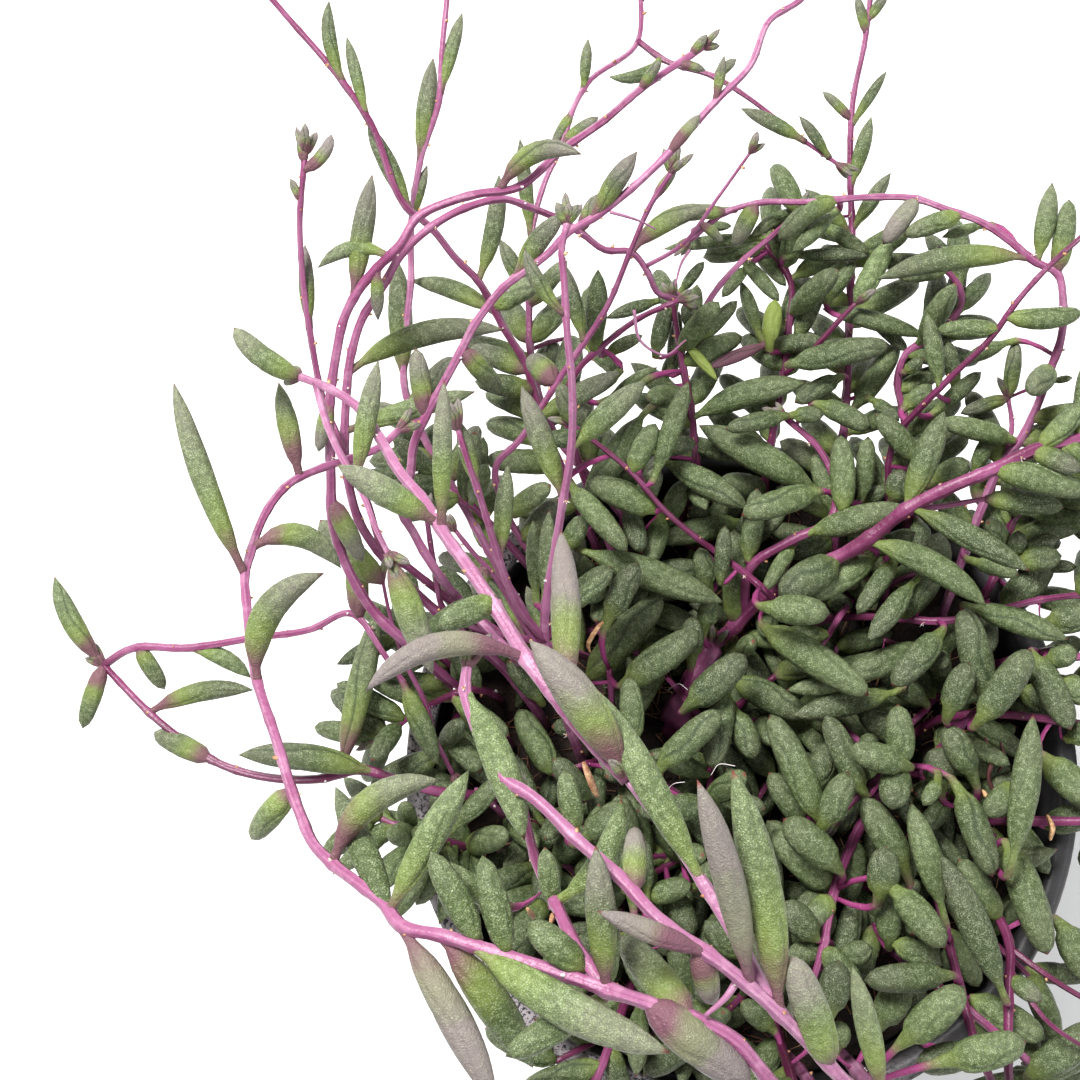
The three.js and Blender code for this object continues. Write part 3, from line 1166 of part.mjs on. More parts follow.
function stemGeometry(stem) {
  const chosen = chosenSamples(stem);
  const sides = stem.radius < SLIM_STEM ? 3 : 4;
  const total = stem.along.at(-1);
  const line = chosen.map((i) => stem.points[i]);
  const radii = chosen.map((i) => taper(stem, stem.along[i] / total));
  if (stem.rooted) {
    line.unshift(line[0].clone().setZ(SOIL_Z - ROOT_DEPTH));
    radii.unshift(radii[0]);
  }
  let side = new THREE.Vector3(1, 0, 0);
  const rings = line.map((point, i) => {
    const before = line[Math.max(0, i - 1)];
    const after = line[Math.min(line.length - 1, i + 1)];
    const tangent = after.clone().sub(before).normalize();
    side = side.clone().addScaledVector(tangent, -side.dot(tangent));
    if (side.length() < 0.1) side = new THREE.Vector3(0, 1, 0).addScaledVector(tangent, -tangent.y);
    side.normalize();
    return ring(point, side, side.clone().cross(tangent), radii[i], radii[i], sides, 0);
  });
  const end = line.at(-1).clone().addScaledVector(
    line.at(-1).clone().sub(line.at(-2)).normalize(), radii.at(-1));
  return skin(rings, line[0], end);
}

function solidOf(geometry) {
  const bare = geometry.clone();
  bare.deleteAttribute('normal');
  bare.deleteAttribute('uv');
  const merged = mergeVertices(bare, 1e-4);
  return new wasm.Manifold(new wasm.Mesh({
    numProp: 3,
    vertProperties: new Float32Array(merged.attributes.position.array),
    triVerts: new Uint32Array(merged.index.array),
  }));
}

// The outer shell of a mesh: hollows that joining sealed and loose scraps are left out
function outerShell({ vertProperties, triVerts, mergeFromVert, mergeToVert }) {
  const parent = Array.from({ length: vertProperties.length / 3 }, (_, i) => i);
  const find = (i) => {
    while (parent[i] !== i) i = parent[i] = parent[parent[i]];
    return i;
  };
  mergeFromVert.forEach((from, i) => {
    parent[find(from)] = find(mergeToVert[i]);
  });
  for (let i = 0; i < triVerts.length; i += 3) {
    parent[find(triVerts[i + 1])] = find(triVerts[i]);
    parent[find(triVerts[i + 2])] = find(triVerts[i]);
  }
  const shells = new Map();
  for (let i = 0; i < triVerts.length; i += 3) {
    const shell = find(triVerts[i]);
    if (!shells.has(shell)) shells.set(shell, { triangles: [], volume: 0 });
    const corners = [0, 1, 2].map((j) => new THREE.Vector3().fromArray(
      vertProperties, 3 * triVerts[i + j]));
    shells.get(shell).triangles.push(triVerts[i], triVerts[i + 1], triVerts[i + 2]);
    shells.get(shell).volume += corners[0].dot(corners[1].cross(corners[2])) / 6;
  }
  const [largest] = [...shells.values()].sort((a, b) => b.volume - a.volume);
  return new Uint32Array(largest.triangles);
}

function geometryOf(solid) {
  const mesh = solid.getMesh();
  const geometry = new THREE.BufferGeometry();
  geometry.setAttribute('position', new THREE.BufferAttribute(mesh.vertProperties, 3));
  geometry.setIndex(new THREE.BufferAttribute(outerShell(mesh), 1));
  geometry.computeVertexNormals();
  return geometry;
}

function lathe(profile, sides) {
  const geometry = new THREE.LatheGeometry(profile.map(([r, z]) => new THREE.Vector2(r, z)), sides);
  return geometry.rotateX(Math.PI / 2);
}

function potGeometry() {
  let solid = solidOf(lathe([
    [0, 0], [BASE_RADIUS - EDGE, 0], [BASE_RADIUS, EDGE],
    [INNER_RADIUS - WALL_LEAN + WALL, WALL_TOP], [RIM_RADIUS - EDGE, WALL_TOP],
    [RIM_RADIUS, POT_HEIGHT - EDGE], [RIM_RADIUS - EDGE, POT_HEIGHT],
    [INNER_RADIUS + EDGE, POT_HEIGHT], [INNER_RADIUS, POT_HEIGHT - EDGE],
    [INNER_RADIUS - WALL_LEAN, WALL_TOP], [BASE_RADIUS - WALL, FLOOR], [0, FLOOR],
  ], POT_SIDES));
  for (let i = 0; i < DRAIN_COUNT; i++) {
    const angle = 2 * Math.PI * i / DRAIN_COUNT;
    const hole = new THREE.CylinderGeometry(DRAIN_RADIUS, DRAIN_RADIUS, 4 * FLOOR, DRAIN_SIDES)
      .rotateX(Math.PI / 2)
      .translate(DRAIN_CIRCLE * Math.cos(angle), DRAIN_CIRCLE * Math.sin(angle), 0);
    solid = solid.subtract(solidOf(hole));
  }
  return geometryOf(solid);
}

function soilGeometry() {
  let solid = solidOf(lathe([
    [0, FLOOR + SEAT_GAP], [BASE_RADIUS - WALL - SIDE_GAP, FLOOR + SEAT_GAP],
    [INNER_RADIUS - WALL_LEAN - SIDE_GAP, WALL_TOP],
    [INNER_RADIUS - WALL_LEAN - SOIL_SHOULDER, SOIL_Z], [0, SOIL_Z],
  ], SOIL_SIDES));
  for (const stem of stems) {
    if (!stem.rooted) continue;
    const { x, y } = stem.points[0];
    const radius = (stem.radius + HOLE_SLACK) / Math.cos(Math.PI / HOLE_SIDES);
    const depth = ROOT_DEPTH + HOLE_SLACK;
    const hole = new THREE.CylinderGeometry(radius, radius, 2 * depth, HOLE_SIDES)
      .rotateX(Math.PI / 2).translate(x, y, SOIL_Z);
    solid = solid.subtract(solidOf(hole));
  }
  return geometryOf(solid);
}

function plantGeometry(node) {
  const pieces = [];
  for (const stem of stems) if (stem.node === node) pieces.push(stemGeometry(stem));
  for (const leaf of leaves) if (leaf.node === node) pieces.push(leafGeometry(leaf, footOf(leaf)));
  return geometryOf(pieces.map(solidOf).reduce((whole, piece) => whole.add(piece)));
}

const potMaterial = new THREE.MeshStandardMaterial({ color: 0x3a383b, roughness: 0.75, metalness: 0 });
const soilMaterial = new THREE.MeshStandardMaterial({ color: 0x2a1b16, roughness: 0.95, metalness: 0 });
const plantMaterial = new THREE.MeshStandardMaterial({ color: 0x5f7a55, roughness: 0.6, metalness: 0 });

function piece(name, geometry, material) {
  const mesh = new THREE.Mesh(geometry, material);
  mesh.name = name;
  return mesh;
}

layStems();
layTrails();
layCrown();
layLeaves();

const plant = new THREE.Group();
plant.add(piece('pot', potGeometry(), potMaterial));
plant.add(piece('soil', soilGeometry(), soilMaterial));
for (const node of new Set(stems.map((stem) => stem.node))) {
  plant.add(piece(node, plantGeometry(node), plantMaterial));
}

export default plant;
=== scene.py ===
# A trailing succulent with magenta stems and plump spindle leaves, in a round nursery pot.
# The frame is in metres. The plant is grown here in millimetres, by the same rules as the part's
# solids, and each finer piece takes the place of the solid that it was grown with.

import math

import bpy
import numpy as np
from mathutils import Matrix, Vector, noise


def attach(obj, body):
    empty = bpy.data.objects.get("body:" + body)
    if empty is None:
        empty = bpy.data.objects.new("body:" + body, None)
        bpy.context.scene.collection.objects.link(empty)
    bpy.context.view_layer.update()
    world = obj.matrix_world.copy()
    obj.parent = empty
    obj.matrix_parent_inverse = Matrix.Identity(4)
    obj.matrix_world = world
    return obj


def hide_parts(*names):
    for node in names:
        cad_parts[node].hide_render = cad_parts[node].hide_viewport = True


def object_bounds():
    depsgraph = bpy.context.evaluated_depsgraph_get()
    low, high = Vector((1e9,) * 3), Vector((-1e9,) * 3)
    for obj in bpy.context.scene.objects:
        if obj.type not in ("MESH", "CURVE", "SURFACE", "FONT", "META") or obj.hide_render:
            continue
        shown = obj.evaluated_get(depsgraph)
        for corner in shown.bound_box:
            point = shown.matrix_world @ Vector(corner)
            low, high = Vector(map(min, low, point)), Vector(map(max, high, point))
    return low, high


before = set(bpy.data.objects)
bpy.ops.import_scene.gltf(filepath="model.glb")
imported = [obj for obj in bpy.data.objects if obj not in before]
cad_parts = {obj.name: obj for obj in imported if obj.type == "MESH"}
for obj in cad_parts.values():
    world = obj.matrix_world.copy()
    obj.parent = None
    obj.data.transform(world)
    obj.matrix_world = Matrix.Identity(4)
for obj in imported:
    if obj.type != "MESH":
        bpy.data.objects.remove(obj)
cad_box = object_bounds()

MM = 0.001
UP = np.array([0.0, 0.0, 1.0])
GOLDEN_ANGLE = math.radians(137.508)

# Pot: a 12 cm nursery pot with a rolled rim, and drain holes round a solid centre
RIM_RADIUS = 60.0
POT_HEIGHT = 100.0
RIM_WIDTH = 4.5
RIM_DEPTH = 13.0
BASE_RADIUS = 42.5
WALL = 1.8
FLOOR = 2.5
EDGE = 1.2
DRAIN_RADIUS = 4.0
DRAIN_CIRCLE = 27.0
DRAIN_COUNT = 6
INNER_RADIUS = RIM_RADIUS - RIM_WIDTH
WALL_TOP = POT_HEIGHT - RIM_DEPTH
WALL_LEAN = 0.6

# Soil: filled to a little under the rim
SOIL_DROP = 11.0
SOIL_Z = POT_HEIGHT - SOIL_DROP
SEAT_GAP = 0.3
SIDE_GAP = 0.5
SOIL_SHOULDER = 2.0
ROOT_DEPTH = 8.0
ROOT_RISE = 0.4

# Clearances between the plant's pieces
STEM_CLEARANCE = 1.2
LEAF_CLEARANCE = 0.8
OWN_OVERLAP = 1.0
FLOOR_CLEARANCE = 3.0
STEM_SAMPLE = 1.25
LEAF_SAMPLE = 1.8
STEM_TAPER = 0.42

# The camera, whose target lies in the plane of the rim
VIEW_SIDE = 1080
VIEW_FOCAL = 1.52
VIEW_ELEVATION = math.radians(78.1)
VIEW_DISTANCE = 300.0
VIEW_TARGET = np.array([-36.0, 41.4, POT_HEIGHT])
SENSOR = 36.0

view_back = np.array([0.0, -math.cos(VIEW_ELEVATION), math.sin(VIEW_ELEVATION)])
view_right = np.array([1.0, 0.0, 0.0])
view_up = np.cross(view_back, view_right)
eye = VIEW_TARGET + VIEW_DISTANCE * view_back


def stem(name, radius, route, leaves=(), fill=None, joins=False):
    return {"name": name, "radius": radius, "route": route, "leaves": leaves, "fill": fill,
            "joins": joins}


def branch(name, radius, route, leaves=(), fill=None):
    return stem(name, radius, route, leaves, fill, True)


# Stems. A route is a list of [across, down, height]: a place in the picture plane and its height
# over the rim. A stem starts at the soil, and a branch on the nearest one of the same name.
# A leaf is [base across, base down, tip across, tip down, width, rise, bow]: its places in the
# picture plane, its width, how far its tip rises over its base, and its sideways bow.
# Fill gives the leaves along the rest of a stem: [from, to, spacing, length, width], where from
# and to are shares of the stem's length.
STEMS = [
    stem("front_arch", 1, [
        [787, 1056, -11], [815, 1090, 20], [834, 1120, 50], [828, 1125, 75], [806, 1115, 92],
        [769, 1080, 100], [731, 1037, 103], [657, 1006, 104], [606, 989, 104], [555, 971, 103],
        [504, 955, 102], [440, 935, 100], [400, 925, 98], [384, 904, 96], [359, 884, 94],
        [333, 864, 91], [315, 846, 89], [300, 813, 86], [275, 735, 80], [258, 683, 76],
        [247, 606, 70], [245, 575, 68], [250, 555, 66], [256, 535, 64], [268, 509, 62],
        [289, 484, 59], [324, 467, 55], [352, 458, 52], [380, 447, 50], [398, 431, 48]
    ], [
        [243, 572, 174, 384, 3.4, 6, -0.6], [259, 549, 340, 567, 3.6, -6, -3.2],
        [266, 683, 322, 574, 4.2, 4, -3.5], [336, 859, 439, 781, 3.6, 4, -3],
        [392, 912, 468, 772, 3.7, 3, 0], [395, 930, 496, 1104, 4, 2, -0.5],
        [410, 904, 336, 788, 3.6, -14, 0], [296, 476, 279, 384, 3.2, 4, 0],
        [285, 790, 252, 838, 3.4, -5, 0], [440, 935, 532, 1066, 4.4, -6, -0.5],
        [470, 950, 668, 1052, 4.6, 6, 1], [608, 988, 596, 848, 3.5, 2, 0],
        [690, 1018, 622, 938, 4.2, -6, 0], [652, 1004, 748, 1082, 5, -3, 0]
    ], [0.14, 0.3, 8, 22, 4]),
    branch("front_arch", 0.85, [
        [606, 989, 104], [578, 950, 102], [555, 902, 98], [537, 864, 94], [522, 800, 89]
    ], [
        [522, 800, 505, 770, 3, 4, 0], [562, 900, 621, 801, 3.3, 4, 2]
    ]),
    stem("front_spray", 1.1, [
        [835, 1050, -11], [870, 1085, 20], [895, 1110, 50], [900, 1120, 75], [880, 1110, 92],
        [843, 1080, 100], [808, 1042, 103], [764, 999, 106], [718, 961, 108], [657, 917, 108],
        [619, 876, 107], [581, 843, 106], [530, 795, 104], [504, 779, 103], [474, 722, 101],
        [465, 690, 100], [467, 668, 100]
    ], [
        [784, 1012, 733, 772, 4.4, 8, 0.6], [752, 987, 698, 782, 3.5, 12, 0.5],
        [895, 1085, 853, 968, 3.8, 4, 0], [834, 1062, 792, 958, 4.2, 6, 0],
        [700, 955, 600, 912, 2.6, 0, 0], [697, 948, 712, 1003, 3, -5, 0],
        [630, 890, 635, 828, 2.8, -6, 0], [468, 688, 524, 838, 4, 2, -0.6]
    ], [0.1, 0.35, 8, 20, 4]),
    branch("front_spray", 0.9, [
        [780, 1015, 105], [764, 989, 105], [739, 943, 104], [709, 893, 103], [678, 846, 102],
        [646, 803, 101], [628, 780, 101]
    ], [
        [630, 783, 531, 642, 4.8, 5, 0.7], [706, 880, 596, 690, 3.8, -3, 0]
    ]),
    branch("front_spray", 1, [
        [628, 780, 101], [606, 756, 101], [582, 730, 101], [558, 700, 101], [532, 667, 100],
        [503, 620, 97], [471, 571, 94], [445, 535, 90], [425, 502, 86], [400, 472, 82],
        [380, 438, 78], [362, 411, 75], [332, 390, 72], [300, 377, 68]
    ], [
        [578, 698, 561, 532, 3.7, -6, 0.4], [520, 665, 367, 690, 3.2, 4, 3.4],
        [441, 530, 444, 382, 2.6, 6, 0], [437, 524, 339, 466, 3.8, 4, 0],
        [300, 377, 235, 329, 3.4, 3, -1]
    ]),
    branch("front_spray", 0.6, [
        [318, 385, 70], [322, 408, 71], [330, 432, 72], [341, 456, 74], [353, 476, 76],
        [366, 502, 79], [374, 524, 81], [388, 553, 83]
    ], [
        [388, 553, 432, 672, 4, -4, 0], [356, 480, 378, 362, 3, 4, 0]
    ]),
    stem("left_spray", 1, [
        [520, 800, -11], [480, 796, 2], [438, 792, 8], [389, 777, 10], [364, 770, 10],
        [318, 779, 10], [230, 768, 9], [160, 722, 7], [115, 677, 6], [104, 665, 6]
    ], [
        [376, 778, 240, 755, 4.8, 4, 1], [207, 768, 155, 733, 4, -3, 0],
        [163, 703, 252, 690, 3.6, 2, -1.5], [104, 668, 55, 578, 3.8, 4, -1],
        [97, 672, 83, 727, 3.4, -2, 0], [342, 772, 379, 608, 4.6, 4, 0]
    ]),
    branch("left_spray", 0.75, [
        [104, 665, 6], [125, 651, 7], [189, 648, 9], [253, 638, 11], [312, 629, 13], [349, 613, 15],
        [386, 657, 16], [402, 680, 14], [428, 726, 10], [453, 774, 4]
    ], [
        [138, 655, 164, 688, 3.2, -3, 0], [189, 649, 250, 677, 3.2, -2, -1],
        [360, 616, 355, 545, 4, 4, 0], [402, 680, 438, 764, 4, -5, 0]
    ]),
    branch("left_spray", 0.5, [
        [436, 738, 9], [424, 700, 13], [408, 668, 17], [397, 640, 19], [389, 612, 21],
        [383, 582, 22]
    ], [
        [383, 582, 321, 521, 4.8, 3, -0.5]
    ]),
    stem("arch_outer", 0.95, [
        [510, 745, -11], [470, 700, 3], [420, 655, 14], [365, 600, 26], [340, 550, 32],
        [332, 519, 36], [331, 479, 40], [330, 402, 46], [337, 351, 50], [344, 319, 52],
        [357, 293, 54], [377, 268, 56], [400, 245, 58], [416, 219, 59], [452, 201, 60],
        [477, 194, 60], [513, 189, 59], [562, 150, 57], [605, 120, 55], [640, 90, 53], [702, 48, 51]
    ], [
        [356, 301, 372, 176, 3.6, 4, 0], [390, 255, 319, 267, 2.6, -3, 2],
        [378, 270, 378, 319, 2.2, -4, 0], [501, 190, 580, 154, 3.4, 5, -3],
        [690, 55, 706, 36, 1.6, 1, 0], [680, 62, 704, 70, 1.6, 0, 0], [640, 90, 660, 62, 1.8, 2, 0],
        [332, 500, 362, 560, 3.4, -5, 0], [328, 402, 319, 450, 2.6, -2, 0]
    ], [0.06, 0.24, 8, 15, 4.2]),
    stem("arch_inner", 0.9, [
        [545, 725, -11], [500, 665, 3], [440, 615, 12], [385, 560, 20], [358, 519, 27],
        [350, 491, 31], [345, 453, 35], [346, 402, 39], [352, 351, 43], [362, 319, 45],
        [383, 286, 47], [401, 255, 48], [427, 230, 49], [452, 214, 49], [477, 204, 48],
        [503, 199, 46], [529, 207, 43], [554, 217, 40], [580, 232, 37], [605, 250, 34],
        [631, 252, 32], [648, 273, 29], [656, 291, 26], [682, 301, 22]
    ], [
        [350, 375, 503, 330, 4.2, -3, -2.5], [631, 251, 712, 208, 3.6, 3, -1.5],
        [580, 232, 596, 196, 2.4, 3, 0], [349, 430, 474, 392, 3.6, 2, 0]
    ], [0.06, 0.2, 8, 14, 4.2]),
    branch("arch_inner", 0.42, [
        [646, 270, 30], [682, 245, 34], [717, 199, 39], [750, 153, 43]
    ], [
        [750, 153, 757, 135, 1.4, 2, 0], [700, 224, 722, 240, 1.8, -2, 0]
    ]),
    stem("arch_tip", 0.75, [
        [560, 690, -11], [510, 640, 4], [450, 600, 14], [412, 570, 21], [383, 547, 26],
        [368, 505, 31], [349, 462, 34], [322, 395, 40], [312, 344, 44], [306, 306, 47],
        [301, 255, 51], [300, 217, 54], [303, 178, 57], [305, 155, 58]
    ], [
        [311, 332, 305, 246, 2.6, 3, 0], [304, 165, 301, 136, 1.8, 1, 0],
        [304, 172, 331, 136, 2.2, 1, 1], [302, 200, 291, 180, 1.4, 1, 0]
    ], [0.08, 0.3, 8, 14, 4]),
    stem("arch_short", 0.75, [
        [590, 660, -11], [530, 640, 3], [470, 626, 10], [443, 608, 15], [436, 575, 20],
        [431, 548, 24], [427, 520, 27]
    ], [], [0.08, 0.5, 8, 14, 4]),
    stem("back_trail", 0.8, [
        [600, 560, -11], [575, 500, 3], [550, 440, 8], [536, 398, 12], [526, 365, 15],
        [503, 327, 20], [490, 301, 23], [478, 281, 26], [457, 260, 29], [427, 224, 34],
        [411, 212, 36], [370, 122, 42], [339, 77, 44], [290, 20, 45], [262, -12, 44], [225, -45, 41]
    ], [
        [342, 80, 329, 2, 2.5, 3, -1], [367, 115, 347, 38, 2.2, 3, 0],
        [411, 212, 368, 125, 3.2, 3, 0], [478, 279, 499, 176, 3.4, 4, 1],
        [494, 315, 412, 281, 3.6, -2, 1], [490, 310, 540, 281, 4.2, 2, 0],
        [260, -12, 235, -60, 3, 2, 0], [228, -42, 190, -60, 2.4, 1, 0]
    ], [0.08, 0.34, 7, 13, 4.4]),
    stem("back_upright", 0.8, [
        [540, 640, -11], [505, 580, 3], [460, 500, 8], [425, 440, 11], [405, 390, 14],
        [406, 330, 18], [411, 281, 21], [411, 230, 25], [415, 191, 28], [421, 158, 30],
        [439, 102, 34], [442, 51, 37], [447, 0, 39], [450, -40, 40]
    ], [
        [443, 97, 462, 14, 2.6, 3, 0], [419, 163, 433, 59, 3.4, 4, 0],
        [417, 222, 427, 166, 2, 3, 0], [405, 384, 398, 262, 4.4, 4, 0],
        [449, -35, 438, -75, 2.4, 2, 0], [447, -10, 470, -50, 2.4, 2, 0]
    ], [0.1, 0.42, 8, 14, 4.2]),
    stem("high_arch", 0.85, [
        [522, 668, -11], [487, 628, 6], [445, 583, 18], [415, 535, 28], [400, 500, 34],
        [409, 479, 36], [414, 443, 40], [429, 410, 43], [447, 377, 46], [462, 349, 48],
        [475, 324, 50], [488, 306, 51], [503, 288, 53], [529, 268, 55], [549, 253, 56],
        [569, 232, 57], [592, 219, 58], [631, 189, 60], [669, 153, 61], [715, 102, 62],
        [750, 66, 62], [770, 20, 62], [800, 0, 61], [818, -25, 60]
    ], [
        [516, 275, 564, 214, 3.4, 3, -0.5], [592, 219, 636, 153, 3.3, 4, 0],
        [669, 158, 699, 116, 2, 2, 0], [712, 104, 724, 57, 1.7, 2, 0],
        [462, 349, 500, 392, 3.4, -6, 0], [424, 418, 416, 350, 3.4, 3, 0],
        [818, -25, 840, -55, 2, 1, 0], [800, 2, 780, -30, 2, 1, 0]
    ], [0.06, 0.22, 8, 14, 4.2]),
    stem("centre_upright", 0.85, [
        [585, 770, -11], [565, 715, 12], [545, 640, 28], [560, 520, 46], [572, 440, 56],
        [572, 383, 62], [567, 332, 66], [564, 281, 69], [562, 245, 71], [567, 224, 72]
    ], [
        [562, 318, 525, 250, 2.4, 3, -1], [566, 228, 557, 204, 1.8, 1, 0],
        [567, 224, 577, 206, 1.6, 1, 0], [560, 500, 522, 388, 3.8, 5, 0],
        [573, 446, 645, 382, 4, 2, 0], [545, 632, 527, 587, 2.6, -3, 0]
    ], [0.1, 0.36, 8, 15, 4.2]),
    branch("centre_upright", 0.75, [
        [545, 640, 28], [517, 605, 36], [503, 572, 42], [490, 530, 48], [480, 497, 52],
        [468, 462, 56], [458, 430, 58]
    ], [
        [484, 490, 459, 421, 2.6, 4, 0], [505, 556, 508, 466, 3, 3, 0]
    ]),
    branch("centre_upright", 0.6, [
        [548, 655, 24], [520, 618, 32], [495, 577, 38], [470, 549, 42], [455, 530, 44]
    ], [
        [485, 566, 476, 596, 2.6, -4, 0]
    ]),
    stem("inner_branch", 0.72, [
        [560, 620, -11], [535, 560, 4], [505, 510, 12], [497, 464, 18], [520, 440, 21],
        [540, 410, 23], [560, 378, 25], [580, 349, 28], [605, 311, 32], [631, 250, 39],
        [651, 204, 45], [671, 173, 49]
    ], [
        [655, 202, 675, 170, 1.8, 1, 0], [671, 173, 664, 150, 1.6, 1, 0],
        [586, 343, 562, 262, 3, 3, 0], [538, 422, 620, 372, 3.8, 2, 0],
        [558, 384, 530, 357, 4.4, -3, 0]
    ], [0.12, 0.3, 8, 13, 4.2]),
    stem("back_fork", 0.75, [
        [655, 560, -11], [608, 498, 3], [550, 425, 6], [531, 357, 9], [529, 306, 11],
        [532, 230, 14], [546, 179, 16], [562, 145, 17], [574, 107, 18], [587, 84, 19],
        [638, 41, 21], [641, 0, 23], [636, -40, 24]
    ], [
        [585, 88, 588, 40, 2.2, 3, 0], [562, 148, 597, 118, 2.6, 2, 0],
        [572, 110, 552, 150, 2.2, -2, 0], [532, 235, 520, 140, 2.8, 4, 0],
        [530, 306, 566, 262, 3.4, 3, 0], [530, 300, 500, 240, 3.2, 3, 0],
        [638, -30, 620, -75, 2.8, 2, 0], [640, 0, 664, -40, 2.6, 2, 0]
    ], [0.1, 0.42, 7, 13, 4.4]),
    branch("back_fork", 0.6, [
        [638, 41, 21], [666, 61, 23], [715, 77, 24], [750, 99, 24], [800, 138, 23], [823, 154, 22],
        [836, 163, 22]
    ], [
        [659, 60, 610, 77, 2.6, 2, -2], [803, 140, 742, 109, 2.9, 2, 0],
        [830, 160, 800, 117, 2.2, 3, 0], [715, 77, 735, 60, 2, 2, 0]
    ]),
    stem("far_upright", 0.8, [
        [830, 570, -11], [838, 490, 3], [846, 400, 7], [850, 300, 9], [852, 230, 11],
        [850, 166, 14], [853, 100, 17], [865, 40, 20], [870, 0, 22], [874, -35, 23]
    ], [
        [851, 184, 871, 118, 2.9, 3, 0], [851, 232, 890, 174, 2.9, 3, 0],
        [853, 120, 824, 93, 2, 2, 0], [853, 124, 886, 72, 2, 3, 0], [866, 36, 857, -2, 2, 2, 0],
        [869, 20, 886, -4, 2, 1, 0], [852, 235, 806, 190, 3.2, 3, 0],
        [874, -35, 860, -75, 2.6, 2, 0]
    ], [0.12, 0.58, 6, 14, 4.4]),
    stem("right_loop", 0.85, [
        [930, 640, -11], [962, 560, 3], [985, 500, 9], [1001, 465, 13], [1022, 437, 17],
        [1037, 406, 20], [1050, 370, 23], [1060, 342, 25], [1063, 301, 27], [1057, 273, 28],
        [1037, 263, 29], [1012, 243, 30], [981, 222, 30], [948, 210, 29], [917, 199, 28],
        [874, 197, 27], [808, 202, 26], [756, 203, 25], [726, 212, 24], [690, 240, 20]
    ], [
        [1029, 263, 879, 279, 4.4, -3, 1.5], [1038, 266, 1052, 184, 3.6, 4, 0],
        [1058, 268, 1069, 201, 3.8, 4, 0], [915, 200, 884, 243, 3.6, -3, 0],
        [838, 202, 780, 240, 3.8, -4, 1], [756, 203, 735, 245, 3.4, -4, 0],
        [726, 212, 680, 215, 2.6, 1, 0], [1050, 370, 1030, 392, 4.4, 8, 0],
        [962, 214, 905, 235, 3.6, -3, 0]
    ], [0.1, 0.36, 7, 13, 4.4]),
    branch("right_loop", 0.6, [
        [1001, 465, 13], [1012, 425, 15], [1008, 398, 16]
    ], [
        [1008, 398, 1016, 342, 3, 2, 0], [1003, 399, 962, 413, 2.6, 0, 0]
    ]),
    stem("right_reach", 0.7, [
        [880, 620, -11], [888, 520, 4], [897, 435, 14], [925, 403, 20], [955, 373, 25],
        [989, 340, 29], [1019, 299, 33], [1047, 268, 36], [1080, 238, 39], [1115, 205, 41],
        [1150, 180, 42]
    ], [
        [1009, 318, 1080, 312, 3.8, -2, 1], [938, 388, 927, 314, 3.4, 3, 0],
        [1000, 332, 938, 330, 3.2, -3, 0], [1150, 180, 1170, 140, 2.6, 2, 0],
        [1115, 205, 1150, 230, 2.8, -2, 0]
    ], [0.1, 0.36, 7, 13, 4.4]),
    stem("main_stem", 1.4, [
        [668, 732, -11], [687, 697, -6], [707, 651, -3], [731, 630, -1], [756, 604, 3],
        [785, 585, 7], [820, 566, 12], [859, 545, 16], [910, 507, 21], [950, 487, 24],
        [994, 469, 26], [1032, 451, 27], [1080, 438, 27], [1130, 425, 24], [1180, 420, 16],
        [1215, 425, 4]
    ], [
        [867, 540, 985, 605, 5, 3, -1.5], [915, 516, 1028, 570, 4.4, 4, 0],
        [902, 508, 944, 412, 4.8, 3, 0], [997, 470, 1085, 492, 5, 0, 0],
        [1030, 452, 1079, 470, 3.8, 2, 0], [1040, 448, 1085, 405, 3.8, 2, 0],
        [737, 624, 734, 531, 5, 5, 0]
    ], [0.66, 0.98, 6, 13, 4.4]),
    branch("main_stem", 3.1, [
        [670, 728, -6], [690, 692, -5], [712, 648, -2]
    ]),
    branch("main_stem", 0.9, [
        [740, 615, 1], [752, 566, 8], [790, 541, 11], [833, 516, 13], [836, 488, 13],
        [821, 452, 13], [785, 417, 13]
    ], [
        [808, 545, 907, 507, 5, 6, 0]
    ]),
    branch("main_stem", 0.6, [
        [907, 512, 20], [945, 506, 20], [985, 499, 20], [1003, 497, 20]
    ], [
        [984, 500, 1062, 507, 4, 0, 0], [990, 500, 1040, 512, 3.4, -4, 0]
    ]),
    stem("slim_cross", 0.7, [
        [790, 625, -11], [764, 590, 0], [719, 554, 8], [698, 539, 11], [666, 512, 15],
        [631, 472, 20], [590, 438, 24], [572, 424, 25]
    ], [
        [590, 438, 540, 440, 3.4, 2, 0], [575, 426, 560, 385, 3.2, 2, 0],
        [631, 472, 655, 425, 4, 0, 0]
    ]),
    stem("right_low", 0.75, [
        [800, 630, -11], [835, 618, -1], [880, 617, 5], [945, 621, 9], [990, 612, 10],
        [1040, 600, 9], [1100, 595, 6], [1140, 610, -4], [1160, 630, -18]
    ], [], [0.2, 0.98, 6.5, 13, 4.8]),
    stem("right_trail", 0.8, [
        [905, 740, -11], [940, 719, 0], [986, 714, 6], [1080, 724, 8], [1130, 732, 4],
        [1160, 745, -10], [1165, 760, -28], [1160, 770, -46]
    ], [], [0.16, 0.98, 6.5, 13, 4.6]),
    branch("right_trail", 0.85, [
        [905, 742, -5], [900, 760, 2], [870, 785, 4], [840, 815, 3]
    ]),
    stem("front_stub", 1.05, [
        [880, 790, -11], [864, 820, -2], [848, 853, 4], [833, 897, 8], [823, 948, 10],
        [812, 984, 10]
    ], [
        [812, 984, 790, 1030, 4.6, 1, 0], [833, 897, 800, 930, 4.6, 1, 0],
        [823, 948, 860, 990, 4.6, 1, 0]
    ], [0.2, 0.95, 7, 12, 4.8]),
    stem("front_dark", 0.85, [
        [925, 870, -11], [938, 900, -2], [950, 948, 5], [963, 999, 9], [976, 1045, 10],
